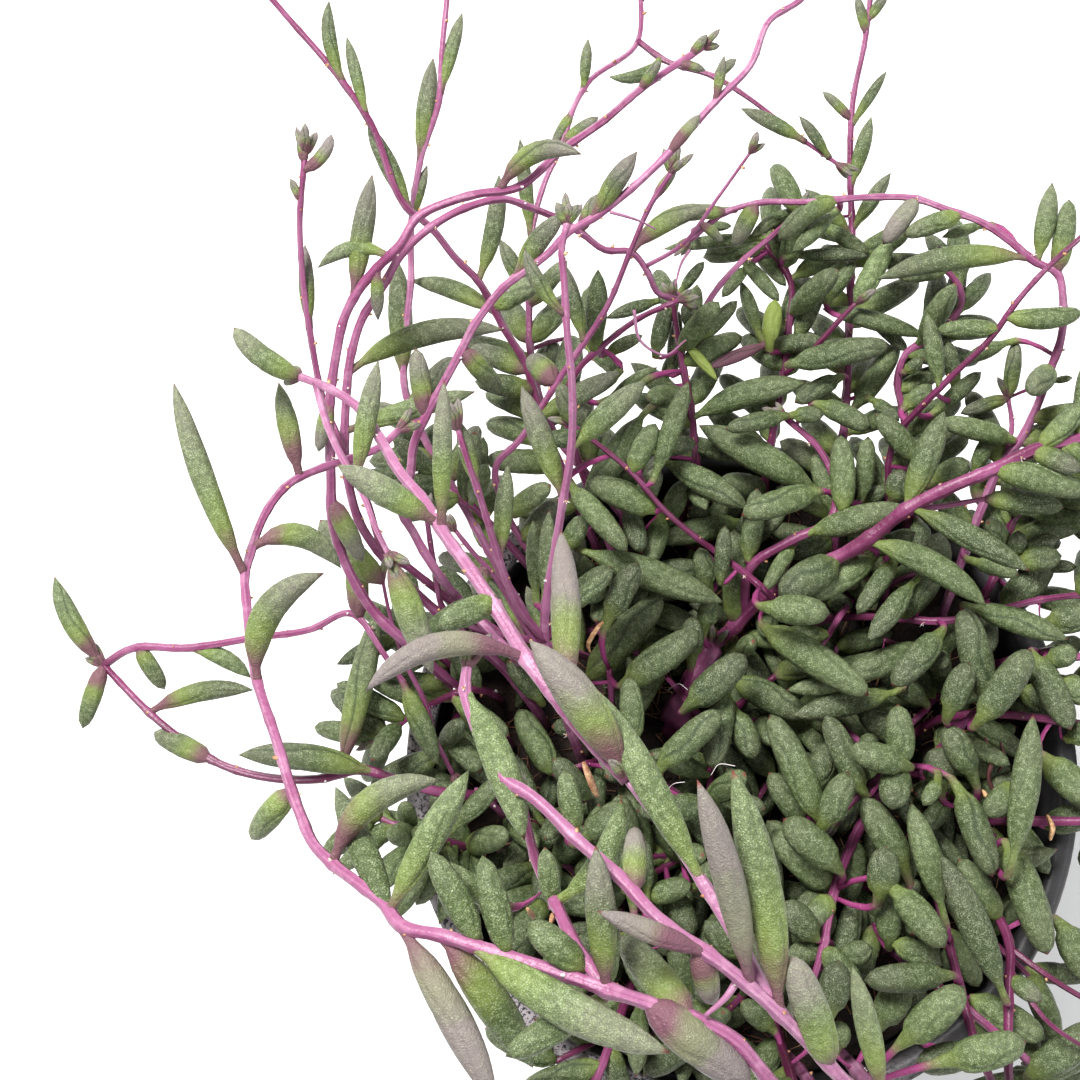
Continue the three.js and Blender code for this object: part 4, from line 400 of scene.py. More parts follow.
        [991, 1080, 8], [1005, 1115, 0], [1015, 1140, -16], [1020, 1150, -34]
    ], [], [0.18, 0.98, 6.5, 12, 4.8]),
    stem("front_right", 0.9, [
        [975, 872, -11], [992, 905, 1], [1010, 948, 8], [1009, 986, 11], [1009, 1080, 12],
        [1015, 1130, 6], [1025, 1165, -10], [1030, 1180, -30]
    ], [
        [1009, 980, 1040, 1000, 3.4, 2, 0], [999, 920, 960, 860, 4.6, 4, 0]
    ], [0.2, 0.98, 6.5, 12, 4.6]),
    branch("front_right", 0.6, [
        [1010, 950, 8], [1035, 967, 10], [1080, 996, 10], [1120, 1010, 4]
    ], [], [0.3, 1, 6.5, 12, 4.2]),
    branch("front_right", 0.55, [
        [1011, 970, 10], [1050, 1024, 13], [1085, 1048, 12]
    ], [], [0.4, 1, 7, 11, 3.8]),
    stem("back_mound_1", 0.85, [
        [700, 525, -11], [697, 470, 3], [690, 405, 9], [680, 350, 13], [672, 300, 16]
    ], [
        [693, 416, 805, 383, 5, 1, -1]
    ], [0.14, 1, 5, 13.5, 4.6]),
    branch("back_mound_1", 0.65, [
        [682, 350, 13], [698, 322, 16], [712, 296, 18], [741, 262, 20], [775, 233, 21],
        [797, 212, 22]
    ], [
        [772, 236, 664, 249, 2.6, -1, 0]
    ]),
    stem("back_mound_2", 0.85, [
        [760, 515, -11], [768, 460, 3], [780, 395, 8], [788, 335, 11], [790, 280, 13],
        [765, 245, 13]
    ], [
        [790, 360, 888, 345, 4.8, 0, 0]
    ], [0.14, 1, 5, 13.5, 4.6]),
    branch("back_mound_2", 0.65, [
        [785, 375, 9], [820, 342, 14], [838, 322, 16], [856, 303, 18]
    ], [
        [854, 302, 889, 243, 4, 3, 0]
    ]),
    stem("back_mound_3", 0.85, [
        [900, 560, -11], [908, 490, 3], [905, 420, 8], [898, 377, 11], [906, 354, 13],
        [930, 338, 15], [951, 321, 17], [962, 301, 18], [957, 283, 19], [946, 270, 20]
    ], [
        [928, 334, 823, 309, 3.6, 0, 0], [946, 270, 900, 278, 3.2, 1, 0]
    ], [0.14, 0.5, 5, 13.5, 4.6]),
    stem("back_mound_4", 0.8, [
        [625, 590, -11], [600, 520, 2], [575, 450, 8], [565, 400, 12], [576, 373, 15],
        [606, 343, 18], [640, 318, 20], [678, 301, 20]
    ], [], [0.14, 0.7, 5, 13.5, 4.6]),
    stem("right_mound_1", 0.85, [
        [968, 618, -11], [1000, 565, 3], [1020, 510, 8], [1055, 490, 9], [1100, 500, 8],
        [1140, 520, 2]
    ], [], [0.14, 1, 5, 13, 4.6]),
    stem("right_mound_2", 0.85, [
        [975, 690, -11], [1015, 675, 3], [1060, 660, 7], [1105, 655, 6], [1150, 670, -2]
    ], [
        [1030, 665, 1080, 640, 4.6, 2, 0]
    ], [0.14, 1, 5, 13, 4.6]),
    stem("left_mound_1", 0.8, [
        [500, 700, -11], [470, 690, 2], [440, 700, 7], [405, 720, 8], [380, 740, 7]
    ], [], [0.2, 1, 6, 14, 4.6]),
    stem("left_mound_2", 0.8, [
        [490, 850, -11], [460, 845, 1], [425, 835, 7], [395, 825, 8], [375, 815, 7]
    ], [
        [380, 818, 350, 800, 3.8, 1, 0]
    ], [0.3, 1, 7, 14, 4.4]),
    stem("left_mound_3", 0.8, [
        [545, 590, -11], [505, 540, 2], [465, 500, 7], [430, 480, 8], [400, 470, 6]
    ], [], [0.2, 1, 5.5, 13.5, 4.4]),
]

# Leaves read one by one in the crown and behind it, the topmost first: [base across, base down,
# tip across, tip down, width, height over the rim]. Each grows from the stem nearest to it
READ_LEAVES = [
    [765, 628, 867, 694, 5.8, 14], [925, 648, 845, 676, 5, 11], [897, 692, 793, 716, 4.6, 10],
    [940, 634, 893, 685, 5, 13], [925, 702, 880, 672, 4.2, 10], [985, 698, 963, 609, 5.8, 13],
    [948, 712, 968, 664, 5, 14], [980, 720, 1030, 651, 5.6, 14], [1032, 655, 1070, 728, 5.4, 12],
    [965, 605, 1067, 639, 4.6, 16], [1048, 624, 1095, 612, 5.4, 10], [1020, 690, 1065, 712, 5, 8],
    [901, 766, 898, 706, 5, 16], [897, 766, 892, 808, 5.6, 15], [972, 774, 946, 727, 5.2, 11],
    [862, 792, 826, 717, 4.8, 12], [820, 820, 771, 716, 5.4, 14], [824, 824, 848, 774, 5, 14],
    [905, 765, 850, 750, 5, 6], [905, 740, 860, 712, 5, 6], [905, 868, 864, 799, 5.6, 14],
    [943, 912, 910, 803, 4.8, 15], [960, 790, 992, 875, 5.2, 12], [1015, 785, 985, 815, 4.6, 10],
    [1012, 865, 1033, 716, 5, 18], [1045, 825, 1095, 812, 5, 8], [1045, 760, 1095, 805, 6, 7],
    [836, 866, 785, 820, 6, 15], [830, 888, 774, 832, 6, 7], [802, 822, 770, 774, 4.4, 12],
    [881, 896, 885, 848, 5.6, 15], [890, 943, 884, 890, 4.4, 12], [896, 890, 944, 946, 5.4, 11],
    [1004, 996, 942, 856, 5.4, 17], [1008, 845, 1047, 953, 6, 16], [1062, 925, 1090, 980, 5.6, 10],
    [815, 938, 784, 903, 5.2, 12], [832, 888, 795, 915, 4.6, 10], [830, 892, 768, 822, 5.4, 4],
    [828, 945, 787, 958, 4.4, 8], [830, 1012, 838, 962, 5.4, 12], [946, 975, 866, 980, 5, 14],
    [880, 1024, 905, 980, 5.8, 12], [912, 1022, 918, 982, 4, 9], [894, 942, 940, 965, 4.2, 8],
    [905, 1040, 963, 988, 6, 8], [971, 998, 1043, 1038, 5.4, 13], [973, 1052, 918, 1064, 5.2, 13],
    [950, 1060, 1024, 1042, 6, 8], [1028, 1076, 1100, 1025, 6, 8], [632, 895, 628, 832, 4.6, 10],
    [648, 897, 690, 884, 4.2, 6], [672, 892, 692, 935, 4.6, 8], [738, 955, 706, 922, 4.6, 7],
    [708, 962, 702, 1003, 4.6, 10], [690, 990, 672, 940, 4.2, 6], [668, 1004, 628, 945, 6, 14],
    [662, 460, 748, 508, 4.8, 13], [748, 560, 757, 490, 4, 9], [815, 492, 743, 515, 4.9, 14],
    [820, 492, 700, 426, 6, 10], [645, 412, 584, 503, 5.2, 10], [655, 510, 590, 482, 5.3, 11],
    [572, 488, 626, 550, 4.2, 10], [628, 508, 641, 552, 3.9, 9], [662, 518, 648, 565, 4.2, 8],
    [738, 522, 660, 540, 4.6, 5], [580, 550, 722, 602, 5.6, 11], [608, 618, 637, 564, 4.6, 11],
    [570, 600, 610, 568, 3.9, 20], [588, 678, 661, 597, 6, 12], [625, 684, 698, 632, 5.6, 12],
    [645, 608, 697, 628, 4.6, 9], [692, 658, 692, 618, 4.2, 10], [690, 705, 745, 656, 5.6, 14],
    [735, 680, 805, 716, 5.3, 11], [725, 690, 712, 768, 5, 10], [660, 766, 720, 712, 5, 13],
    [735, 712, 755, 758, 4.6, 9], [634, 742, 629, 677, 4.2, 20], [585, 838, 622, 803, 3.9, 18],
    [833, 510, 815, 455, 3.9, 11], [843, 512, 841, 437, 4.6, 16], [917, 460, 877, 415, 4.2, 15],
    [1012, 440, 941, 422, 4, 18], [1020, 562, 1060, 556, 4.6, 11], [1003, 610, 1050, 560, 6, 9],
    [1033, 596, 1088, 605, 4.8, 7], [915, 580, 868, 641, 4, 14], [873, 558, 812, 598, 4.6, 11],
    [836, 562, 780, 594, 6.2, 13], [768, 608, 828, 613, 5.2, 13], [792, 364, 888, 345, 4.8, 11],
    [856, 406, 897, 345, 4.4, 14], [820, 404, 870, 428, 4, 14]
]
# Smaller ones, which the solids don't have. The heights of the last 18 are guessed, and the last
# six fill the hidden cluster at the left
SMALL_READ_LEAVES = [
    [860, 682, 788, 690, 3.4, 9], [1048, 660, 1076, 652, 4.2, 9], [1060, 680, 1090, 700, 5, 8],
    [940, 786, 938, 748, 6, 13], [938, 782, 924, 804, 2.8, 10], [1068, 740, 1095, 725, 4, 9],
    [840, 960, 871, 948, 4.4, 8], [835, 1047, 840, 1022, 4.4, 10], [646, 892, 644, 840, 3, 8],
    [700, 884, 715, 864, 4, 8], [772, 1028, 742, 1002, 4, 6], [654, 479, 688, 382, 3.8, 20],
    [655, 450, 695, 443, 3.6, 12], [682, 440, 736, 459, 3.4, 9], [785, 416, 727, 429, 3.4, 16],
    [793, 415, 822, 415, 3.2, 16], [708, 586, 700, 549, 3.9, 8], [720, 582, 725, 527, 3, 8],
    [668, 668, 676, 652, 3.2, 9], [793, 545, 765, 590, 2.9, 12], [567, 548, 584, 517, 3.9, 12],
    [705, 625, 712, 600, 4, 7], [862, 497, 868, 438, 3.6, 12], [868, 500, 884, 488, 2.8, 9],
    [975, 468, 990, 436, 3, 17], [935, 482, 968, 462, 4.6, 12], [893, 500, 903, 470, 4.6, 11],
    [870, 552, 914, 533, 3.6, 10], [918, 522, 923, 556, 4, 10], [975, 562, 1017, 574, 3.2, 12],
    [1016, 556, 1018, 532, 3.6, 10], [1025, 550, 1056, 538, 3.3, 10],
    [1040, 566, 1075, 567, 2.6, 9], [895, 560, 858, 613, 3.6, 12], [828, 600, 851, 606, 3.6, 7],
    [661, 300, 607, 318, 2.6, 14], [655, 354, 668, 302, 3.3, 14], [670, 372, 679, 312, 2.6, 13],
    [664, 378, 683, 345, 3, 12], [691, 334, 697, 286, 3, 14], [694, 334, 684, 305, 2.6, 16],
    [682, 290, 703, 263, 2.2, 14], [703, 338, 736, 302, 2.8, 13], [683, 341, 717, 380, 2, 15],
    [768, 344, 709, 368, 2.4, 12], [744, 262, 778, 300, 2.8, 15], [746, 268, 723, 296, 2.4, 14],
    [760, 338, 741, 282, 2.8, 11], [769, 343, 775, 301, 3.4, 16], [783, 334, 797, 280, 3.2, 13],
    [797, 337, 821, 285, 3.6, 15], [768, 347, 823, 341, 3.6, 12], [608, 400, 656, 368, 2.8, 12],
    [641, 384, 592, 428, 2.8, 16], [619, 373, 578, 400, 3, 16], [607, 353, 641, 336, 2.6, 14],
    [588, 346, 618, 374, 3, 10], [795, 208, 751, 236, 2.6, 20], [836, 212, 793, 252, 3, 22],
    [788, 256, 868, 256, 2.6, 17], [757, 256, 785, 285, 2.4, 12], [700, 228, 730, 226, 2, 18],
    [728, 210, 668, 217, 3, 19], [984, 225, 943, 237, 2.2, 24], [1008, 342, 962, 362, 2.8, 20],
    [955, 388, 948, 342, 2.8, 16], [936, 412, 980, 373, 3, 16], [904, 408, 931, 386, 3.2, 15],
    [822, 226, 868, 254, 3, 18], [828, 300, 854, 262, 2.8, 15], [874, 322, 906, 350, 2.6, 13],
    [905, 372, 922, 360, 2.4, 14], [873, 400, 898, 420, 2.6, 10], [1055, 381, 1071, 378, 1.4, 16],
    [838, 378, 796, 402, 3.6, 12], [507, 952, 483, 858, 3.4, 103], [478, 940, 432, 854, 3.4, 102],
    [500, 905, 440, 866, 3, 98], [575, 832, 565, 772, 2.8, 105], [582, 968, 530, 924, 3.8, 104],
    [600, 1000, 508, 1055, 3.6, 105], [572, 608, 612, 570, 3, 34], [545, 602, 549, 512, 3, 35],
    [536, 600, 533, 522, 2.8, 33], [495, 600, 440, 626, 3.4, 97], [606, 988, 613, 918, 2.4, 106],
    [553, 905, 545, 850, 2.6, 98], [452, 830, 508, 772, 3.6, 6], [470, 800, 425, 770, 3.4, 4],
    [540, 820, 512, 752, 3.4, 4], [455, 700, 508, 735, 3.8, 12], [420, 640, 470, 600, 3.4, 12],
    [540, 700, 508, 662, 3.4, 8]
]
# How far a read leaf rises and may be lifted, and how its neck reaches it from the stem
READ_RISE = 2.0
READ_LIFTS = [0, -2, -4, 2, -6, 4, 6, -8, 8, 10, 12]
NECK_MOST = 14.0
NECK_OVER_SOIL = 1.5
NECK_BALLS = 4
NECK_LEAN = 0.2
NECK_TOP = 0.35

# Crown: short branching shoots, spread evenly over the soil, that make the low mound of leaves
CROWN_SHOOTS = 17
CROWN_RADIUS = 49.0
CROWN_TURN = 2.1
CROWN_START = 0.6
CROWN_BRANCHES = 3
CROWN_STEM = 0.8
CROWN_REACH = [10.0, 17.0]
CROWN_HEIGHT = [7.0, 21.0]
CROWN_TOP = 25.0
CROWN_LEAF = [10.5, 14.0]
CROWN_LEAF_WIDTH = 4.9
CROWN_ROOT_GAP = 5.0
CROWN_SWINGS = [0, 0.5, -0.5, 1, -1, 1.5, -1.5, 2]
CROWN_FORK = 2.5
CROWN_SCATTER = 0.7
CROWN_TRIES = 60
CROWN_TRY_STEP = 1.3
CROWN_SEED = 300
CROWN_BOW = [[0.3, 0.45], [0.65, 0.8], [1, 1]]

# Long stems that hang over the unseen front and right of the rim
TRAIL_ANGLES = [-118, -84, -50, -12]
TRAIL_DROPS = [34, 52, 38, 46]
TRAIL_STEM = 0.85
TRAIL_SWAY = 0.5
TRAIL_SEED = 900
TRAIL_FILL = [0.1, 1, 6.5, 13, 4.6]
TRAIL_RISE = [[41, 0, -SOIL_DROP], [48, 0.1, 1], [58, 0.3, 8], [68, 0.5, 5]]
TRAIL_FALL = [[75, 0.7, 0.3], [78, 0.9, 0.65], [80, 1.1, 1]]

# Leaves. Slim and plump ones differ in where they are fullest and how blunt they end
SLIM_SHAPE = 0.28
SLIM_FORM = (1.08, 0.75)
PLUMP_FORM = (0.92, 0.4)
SEEN_ARCH = 0.05
RULED_ARCH = 0.07
# How a leaf by rule leaves its stem: its angle, and the least and most that it rises
STEM_LEAVES = (1.0, -0.35, 0.75)
CROWN_SPREAD = (1.25, -0.15, 0.55)
FILL_SEED = 1000
CROWN_FILL_SEED = 2000


SEED_STEP = 7919
SEED_START = 104729
DRAW_FACTOR = 16807
DRAW_SIZE = 2147483647


def stream(seed):
    """A random stream of its own for each stem, so that no stem changes another"""
    state = (seed * SEED_STEP + SEED_START) % DRAW_SIZE

    def draw():
        nonlocal state
        state = (state * DRAW_FACTOR) % DRAW_SIZE
        return state / DRAW_SIZE
    return draw


def between(span, share):
    return span[0] + (span[1] - span[0]) * share


def varied(span, draw):
    """A number drawn from a span, given as its least and its extent"""
    return span[0] + span[1] * draw()


def any_turn(draw):
    return draw() * 2 * math.pi


def any_way(draw):
    return np.array([draw() - 0.5 for _ in range(3)])


def unit(vector):
    return vector / np.linalg.norm(vector)


def side_of(way, least):
    """The level direction to the side of a way, or across the picture where that is upright"""
    side = np.cross(way, UP)
    return unit(side) if np.linalg.norm(side) >= least else np.array([1.0, 0.0, 0.0])


def half_up(value):
    return int(math.floor(value + 0.5))


def seen(place):
    """The place in space of a point read in the picture plane"""
    across, down, height = place
    x = (across - VIEW_SIDE / 2) / VIEW_SIDE / VIEW_FOCAL
    y = (VIEW_SIDE / 2 - down) / VIEW_SIDE / VIEW_FOCAL
    ray = -view_back + view_right * x + view_up * y
    return eye + ray * ((POT_HEIGHT + height - eye[2]) / ray[2])


def picture_scale(points):
    return VIEW_FOCAL * VIEW_SIDE / -((points - eye) @ view_back)


def pictured(points):
    """The places in the picture plane of points in space"""
    points = np.atleast_2d(points)
    offset = points - eye
    scale = picture_scale(points)
    return np.stack([VIEW_SIDE / 2 + offset @ view_right * scale,
                     VIEW_SIDE / 2 - offset @ view_up * scale], axis=1)


def smooth(points, step, start=None):
    """A smooth curve through the points, sampled at even steps"""
    points = [np.array(point, float) for point in points]
    last = len(points) - 1
    span = [float(np.linalg.norm(points[i + 1] - points[i])) for i in range(last)]
    slope = []
    for i, point in enumerate(points):
        if i == 0:
            slope.append((points[1] - point) / span[0] if start is None else np.array(start, float))
        elif i == last:
            slope.append((point - points[i - 1]) / span[i - 1])
        else:
            before = (point - points[i - 1]) / span[i - 1]
            after = (points[i + 1] - point) / span[i]
            slope.append((before * span[i] + after * span[i - 1]) / (span[i - 1] + span[i]))
    out = [points[0]]
    for i in range(last):
        parts = max(1, half_up(span[i] / step))
        for j in range(1, parts + 1):
            t = j / parts
            t2 = t * t
            t3 = t2 * t
            out.append(points[i] * (2 * t3 - 3 * t2 + 1) + slope[i] * ((t3 - 2 * t2 + t) * span[i])
                       + points[i + 1] * (3 * t2 - 2 * t3) + slope[i + 1] * ((t3 - t2) * span[i]))
    return np.array(out)


def arcs(points):
    return np.concatenate([[0.0], np.cumsum(np.linalg.norm(np.diff(points, axis=0), axis=1))])


# What is placed so far, as balls along every stem and leaf
BALLS_MOST = 40000
BALL_REACH = 6.0
ball_at = np.zeros((BALLS_MOST, 3))
ball_radius = np.zeros(BALLS_MOST)
ball_node = np.zeros(BALLS_MOST, int)
ball_count = 0
node_numbers = {}


def node_number(node):
    return node_numbers.setdefault(node, len(node_numbers) + 1)


def add_balls(points, radii, node):
    global ball_count
    stop = ball_count + len(points)
    ball_at[ball_count:stop] = points
    ball_radius[ball_count:stop] = radii
    ball_node[ball_count:stop] = node_number(node)
    ball_count = stop


# The pot's wall and rim as two rounded bands in section: (radius, height) at both ends, and half
# their thickness
POT_BANDS = [
    ((BASE_RADIUS - 1, 1), (INNER_RADIUS + WALL_LEAN, WALL_TOP), 1.2),
    ((RIM_RADIUS - RIM_WIDTH / 2, WALL_TOP + 2),
     (RIM_RADIUS - RIM_WIDTH / 2, POT_HEIGHT - RIM_WIDTH / 2), RIM_WIDTH / 2 + 0.3),
]


def pot_gaps(points, radii):
    """The distances from balls to the pot"""
    out = np.hypot(points[:, 0], points[:, 1])
    least = np.full(len(points), np.inf)
    for low, high, half in POT_BANDS:
        run, rise = high[0] - low[0], high[1] - low[1]
        t = ((out - low[0]) * run + (points[:, 2] - low[1]) * rise) / (run * run + rise * rise)
        t = np.clip(t, 0, 1)
        gap = np.hypot(out - low[0] - run * t, points[:, 2] - low[1] - rise * t)
        least = np.minimum(least, gap - half - radii)
    return least


def ball_gaps(points, radii, node, own=None):
    """The distances from balls to all that is placed near them. Those of the same node count
    only where own says so, and may sink a little into each other."""
    reach = BALL_REACH + radii.max()
    low = points.min(axis=0) - reach
    high = points.max(axis=0) + reach
    at = ball_at[:ball_count]
    near = np.flatnonzero(((at > low) & (at < high)).all(axis=1))
    if len(near) == 0:
        return np.full(len(points), np.inf)
    apart = points[:, None, :] - at[None, near, :]
    gap = np.sqrt((apart * apart).sum(axis=2)) - radii[:, None] - ball_radius[None, near]
    same = ball_node[near] == node_number(node)
    if own is None:
        gap[:, same] = np.inf
    else:
        gap[:, same] += OWN_OVERLAP
        gap[np.ix_(~own, same)] = np.inf
    return gap.min(axis=1)


# Raises a stem towards the viewer, which keeps its picture, where it would touch another stem
RAISE_REACH = 11.0
RAISE_PASSES = 80
RAISE_EXTRA = 0.15
RAISE_FROM = 3.0
RAISE_TIE = 1e-6
ROOT_HOLD = 8.0
JOINT_HOLD = 4.0


def raised(points, radius, node, rooted):
    out = points.copy()
    along = arcs(points)
    radii = np.full(len(out), radius)
    free = along >= RAISE_FROM
    gaps = np.minimum(ball_gaps(out, radii, node), pot_gaps(out, radii))
    hold = np.minimum(1, along / (ROOT_HOLD if rooted else JOINT_HOLD))
    for _ in range(RAISE_PASSES):
        worst = -1
        least = STEM_CLEARANCE
        for i in np.flatnonzero(free & (gaps < STEM_CLEARANCE)):
            if gaps[i] < least - RAISE_TIE:
                least = gaps[i]
                worst = i
        if worst < 0:
            break
        amount = STEM_CLEARANCE - least + RAISE_EXTRA
        away = np.abs(along - along[worst]) / RAISE_REACH
        near = away < 1
        toward = eye - out[near]
        toward /= np.linalg.norm(toward, axis=1)[:, None]
        swell = amount * hold[near] * (0.5 + 0.5 * np.cos(math.pi * away[near]))
        out[near] += toward * swell[:, None]
        gaps[near] = np.minimum(ball_gaps(out[near], radii[near], node),
                                pot_gaps(out[near], radii[near]))
    return out


stems = []


def taper(stem_, share):
    return stem_["radius"] * (1 - STEM_TAPER * share)


def course(node, radius, route, rooted):
    """A stem's course: the smooth curve through its route, raised clear of the others"""
    root = np.array(route[0], float)
    start = None
    if rooted:
        root[2] = SOIL_Z + ROOT_RISE
        start = UP
    return raised(smooth([root, *route[1:]], STEM_SAMPLE, start), radius, node, rooted)


def add_stem(node, radius, points, spec, rooted):
    along = arcs(points)
    new = {"node": node, "radius": radius, "points": points, "along": along, "rooted": rooted,
           "spec": spec, "marks": []}
    add_balls(points, taper(new, along / along[-1]), node)
    stems.append(new)


def nearest_on(node, point):
    """The place on a node's own stems nearest to a point in space"""
    best = None
    least = math.inf
    for other in stems:
        if other["node"] != node:
            continue
        gaps = np.linalg.norm(other["points"] - point, axis=1)
        i = int(np.argmin(gaps))
        if gaps[i] < least:
            least = gaps[i]
            best = other["points"][i]
    return best.copy()


def lay_stems():
    for spec in STEMS:
        route = [seen(place) for place in spec["route"]]
        if spec["joins"]:
            route[0] = nearest_on(spec["name"], route[0])
        rooted = not spec["joins"]
        points = course(spec["name"], spec["radius"], route, rooted)
        add_stem(spec["name"], spec["radius"], points, spec, rooted)


def lay_trails():
    for i, degrees in enumerate(TRAIL_ANGLES):
        draw = stream(TRAIL_SEED + i)
        angle = math.radians(degrees)
        sway = (draw() - 0.5) * TRAIL_SWAY
        places = TRAIL_RISE + [[radius, share, -drop * TRAIL_DROPS[i]]
                               for radius, share, drop in TRAIL_FALL]
        route = [np.array([radius * math.cos(angle + sway * share),
                           radius * math.sin(angle + sway * share), POT_HEIGHT + height])
                 for radius, share, height in places]
        node = f"rim_trail_{i + 1}"
        spec = {"leaves": [], "fill": TRAIL_FILL}
        add_stem(node, TRAIL_STEM, course(node, TRAIL_STEM, route, True), spec, True)


ROOT_PROBES = [1, 4, 8]


def root_is_free(x, y):
    """Whether a crown shoot can rise at a place"""
    low = np.array([[x, y, SOIL_Z + rise] for rise in ROOT_PROBES])
    if ball_gaps(low, np.full(len(low), CROWN_STEM), "").min() < 2 * STEM_CLEARANCE:
        return False
    return all(math.hypot(other["points"][0][0] - x, other["points"][0][1] - y) > CROWN_ROOT_GAP
               for other in stems if other["rooted"])


def lay_crown():
    for i in range(CROWN_SHOOTS):
        draw = stream(CROWN_SEED + i)
        angle = i * GOLDEN_ANGLE + CROWN_TURN
        out = CROWN_RADIUS * math.sqrt((i + CROWN_START) / CROWN_SHOOTS)
        x = out * math.cos(angle)
        y = out * math.sin(angle)
        step = 1
        while step < CROWN_TRIES and not root_is_free(x, y):
            aside = CROWN_TRY_STEP * math.sqrt(step)
            x = out * math.cos(angle) + aside * math.cos(step * GOLDEN_ANGLE)
            y = out * math.sin(angle) + aside * math.sin(step * GOLDEN_ANGLE)
            step += 1
        node = f"crown_shoot_{i + 1:02d}"
        first = any_turn(draw)
        for j in range(CROWN_BRANCHES):
            way = first + j * 2 * math.pi / CROWN_BRANCHES + (draw() - 0.5) * CROWN_SCATTER
            reach = between(CROWN_REACH, draw())
            top = between(CROWN_HEIGHT, draw())
            points = crown_branch(node, j, x, y, way, reach, top)
            if points is not None:
                add_stem(node, CROWN_STEM, points, {"leaves": [], "crown": True}, j == 0)


def crown_branch(node, j, x, y, way, reach, top):
    """A crown shoot's branch, swung until it is clear, or None"""
    for swing in CROWN_SWINGS:
        def at(share, rise):
            return np.array([x + reach * share * math.cos(way + swing),
                             y + reach * share * math.sin(way + swing), SOIL_Z + rise])
        route = [at(0, 0 if j == 0 else CROWN_FORK)]
        route += [at(share, top * rise) for share, rise in CROWN_BOW]
        if j > 0:
            route[0] = nearest_on(node, route[0])
        points = course(node, CROWN_STEM, route, j == 0)
        gap = ball_gaps(points, np.full(len(points), CROWN_STEM), node).min()
        if gap > LEAF_CLEARANCE and points[:, 2].max() < SOIL_Z + CROWN_TOP:
            return points
    return None


leaves = []


def leaf_at(leaf, t):
    t = np.asarray(t, float)[..., None]
    u = 1 - t
    return leaf["base"] * u * u + leaf["middle"] * 2 * u * t + leaf["tip"] * t * t


def leaf_half(leaf, t):
    """A leaf's half width along its length: slim at the base, fullest past the middle"""
    fullness, bluntness = leaf["form"]
    s = np.asarray(t, float) ** fullness
    return leaf["width"] / 2 * (4 * s * (1 - s)) ** bluntness


def new_leaf(stem_, base, tip, width, bow, arch):
    along = tip - base
    length = float(np.linalg.norm(along))
    side = unit(np.cross(along, UP))
    middle = (base + tip) * 0.5 + side * (2 * bow)
    middle[2] += 2 * arch * length
    form = SLIM_FORM if width / length < SLIM_SHAPE else PLUMP_FORM
    return {"stem": stem_, "node": stem_["node"], "width": width, "base": base.copy(),
            "middle": middle, "tip": tip, "form": form, "length": length}


LEAF_BALLS = 5
BALLS_FROM = 0.1
BALLS_TO = 0.97


def leaf_balls(leaf):
    """A leaf as balls, from clear of its stem to its tip, with those of its neck"""
    count = max(LEAF_BALLS, math.ceil(leaf["length"] / LEAF_SAMPLE))
    t = BALLS_FROM + (BALLS_TO - BALLS_FROM) * np.arange(1, count + 1) / count
    at, radius = leaf_at(leaf, t), leaf_half(leaf, t)
    if "foot" not in leaf:
        return at, radius, t
    share = np.arange(1, NECK_BALLS + 1) / (NECK_BALLS + 1)
    neck = leaf["foot"] + (leaf_at(leaf, NECK_TOP) - leaf["foot"]) * share[:, None]
    return (np.concatenate([neck, at]), np.concatenate([leaf_half(leaf, NECK_TOP) * share, radius]),
            np.concatenate([np.zeros(NECK_BALLS), t]))


MINDING_FROM = 0.45


def leaf_gap(leaf, minding):
    """How clear a leaf is of all that is placed. One that minds its own node is kept clear of
    that too, beyond the part that grows from the stem."""
    at, radius, t = leaf_balls(leaf)
    own = t > MINDING_FROM if minding else None
    least = min(ball_gaps(at, radius, leaf["node"], own).min(), pot_gaps(at, radius).min(),
                (at[:, 2] - radius - FLOOR_CLEARANCE).min())
    inside = np.hypot(at[:, 0], at[:, 1]) < RIM_RADIUS
    if inside.any():
        least = min(least, (at[:, 2] - radius - SOIL_Z)[inside].min())
    return least


def keep_leaf(leaf, index):
    leaves.append(leaf)
    leaf["stem"]["marks"].append(index)
    at, radius, _ = leaf_balls(leaf)
    add_balls(at, radius, leaf["node"])


# A seen leaf keeps its picture: its tip is raised or lowered until the leaf is clear
RISES = [0, 2, -2, 4, -4, 6, -6, 9, -9, 12, 16]


def place_seen_leaf(stem_, spec):
    base_across, base_down, tip_across, tip_down, width, rise, bow = spec
    places = pictured(stem_["points"])
    index = int(np.argmin(np.hypot(places[:, 0] - base_across, places[:, 1] - base_down)))
    base = stem_["points"][index]
    for extra in RISES:
        tip = seen([tip_across, tip_down, base[2] - POT_HEIGHT + rise + extra])
        leaf = new_leaf(stem_, base, tip, width, bow, SEEN_ARCH)
        if leaf_gap(leaf, False) >= LEAF_CLEARANCE:
            keep_leaf(leaf, index)
            return


def anchor_of(base, tip):
    """The stem nearest to a read leaf's base, and the place on it, from where a neck reaches the
    leaf without folding back"""
    best = None
    least = NECK_MOST
    way = unit(tip - base)
    top = base + (tip - base) * NECK_TOP
    for stem_ in stems:
        points = stem_["points"]
        neck = top - points
        fits = neck @ way >= NECK_LEAN * np.linalg.norm(neck, axis=1)
        fits &= points[:, 2] >= SOIL_Z + NECK_OVER_SOIL
        gaps = np.where(fits, np.linalg.norm(points - base, axis=1), np.inf)
        i = int(np.argmin(gaps))
        if gaps[i] < least:
            least = gaps[i]
            best = stem_, i
    return best


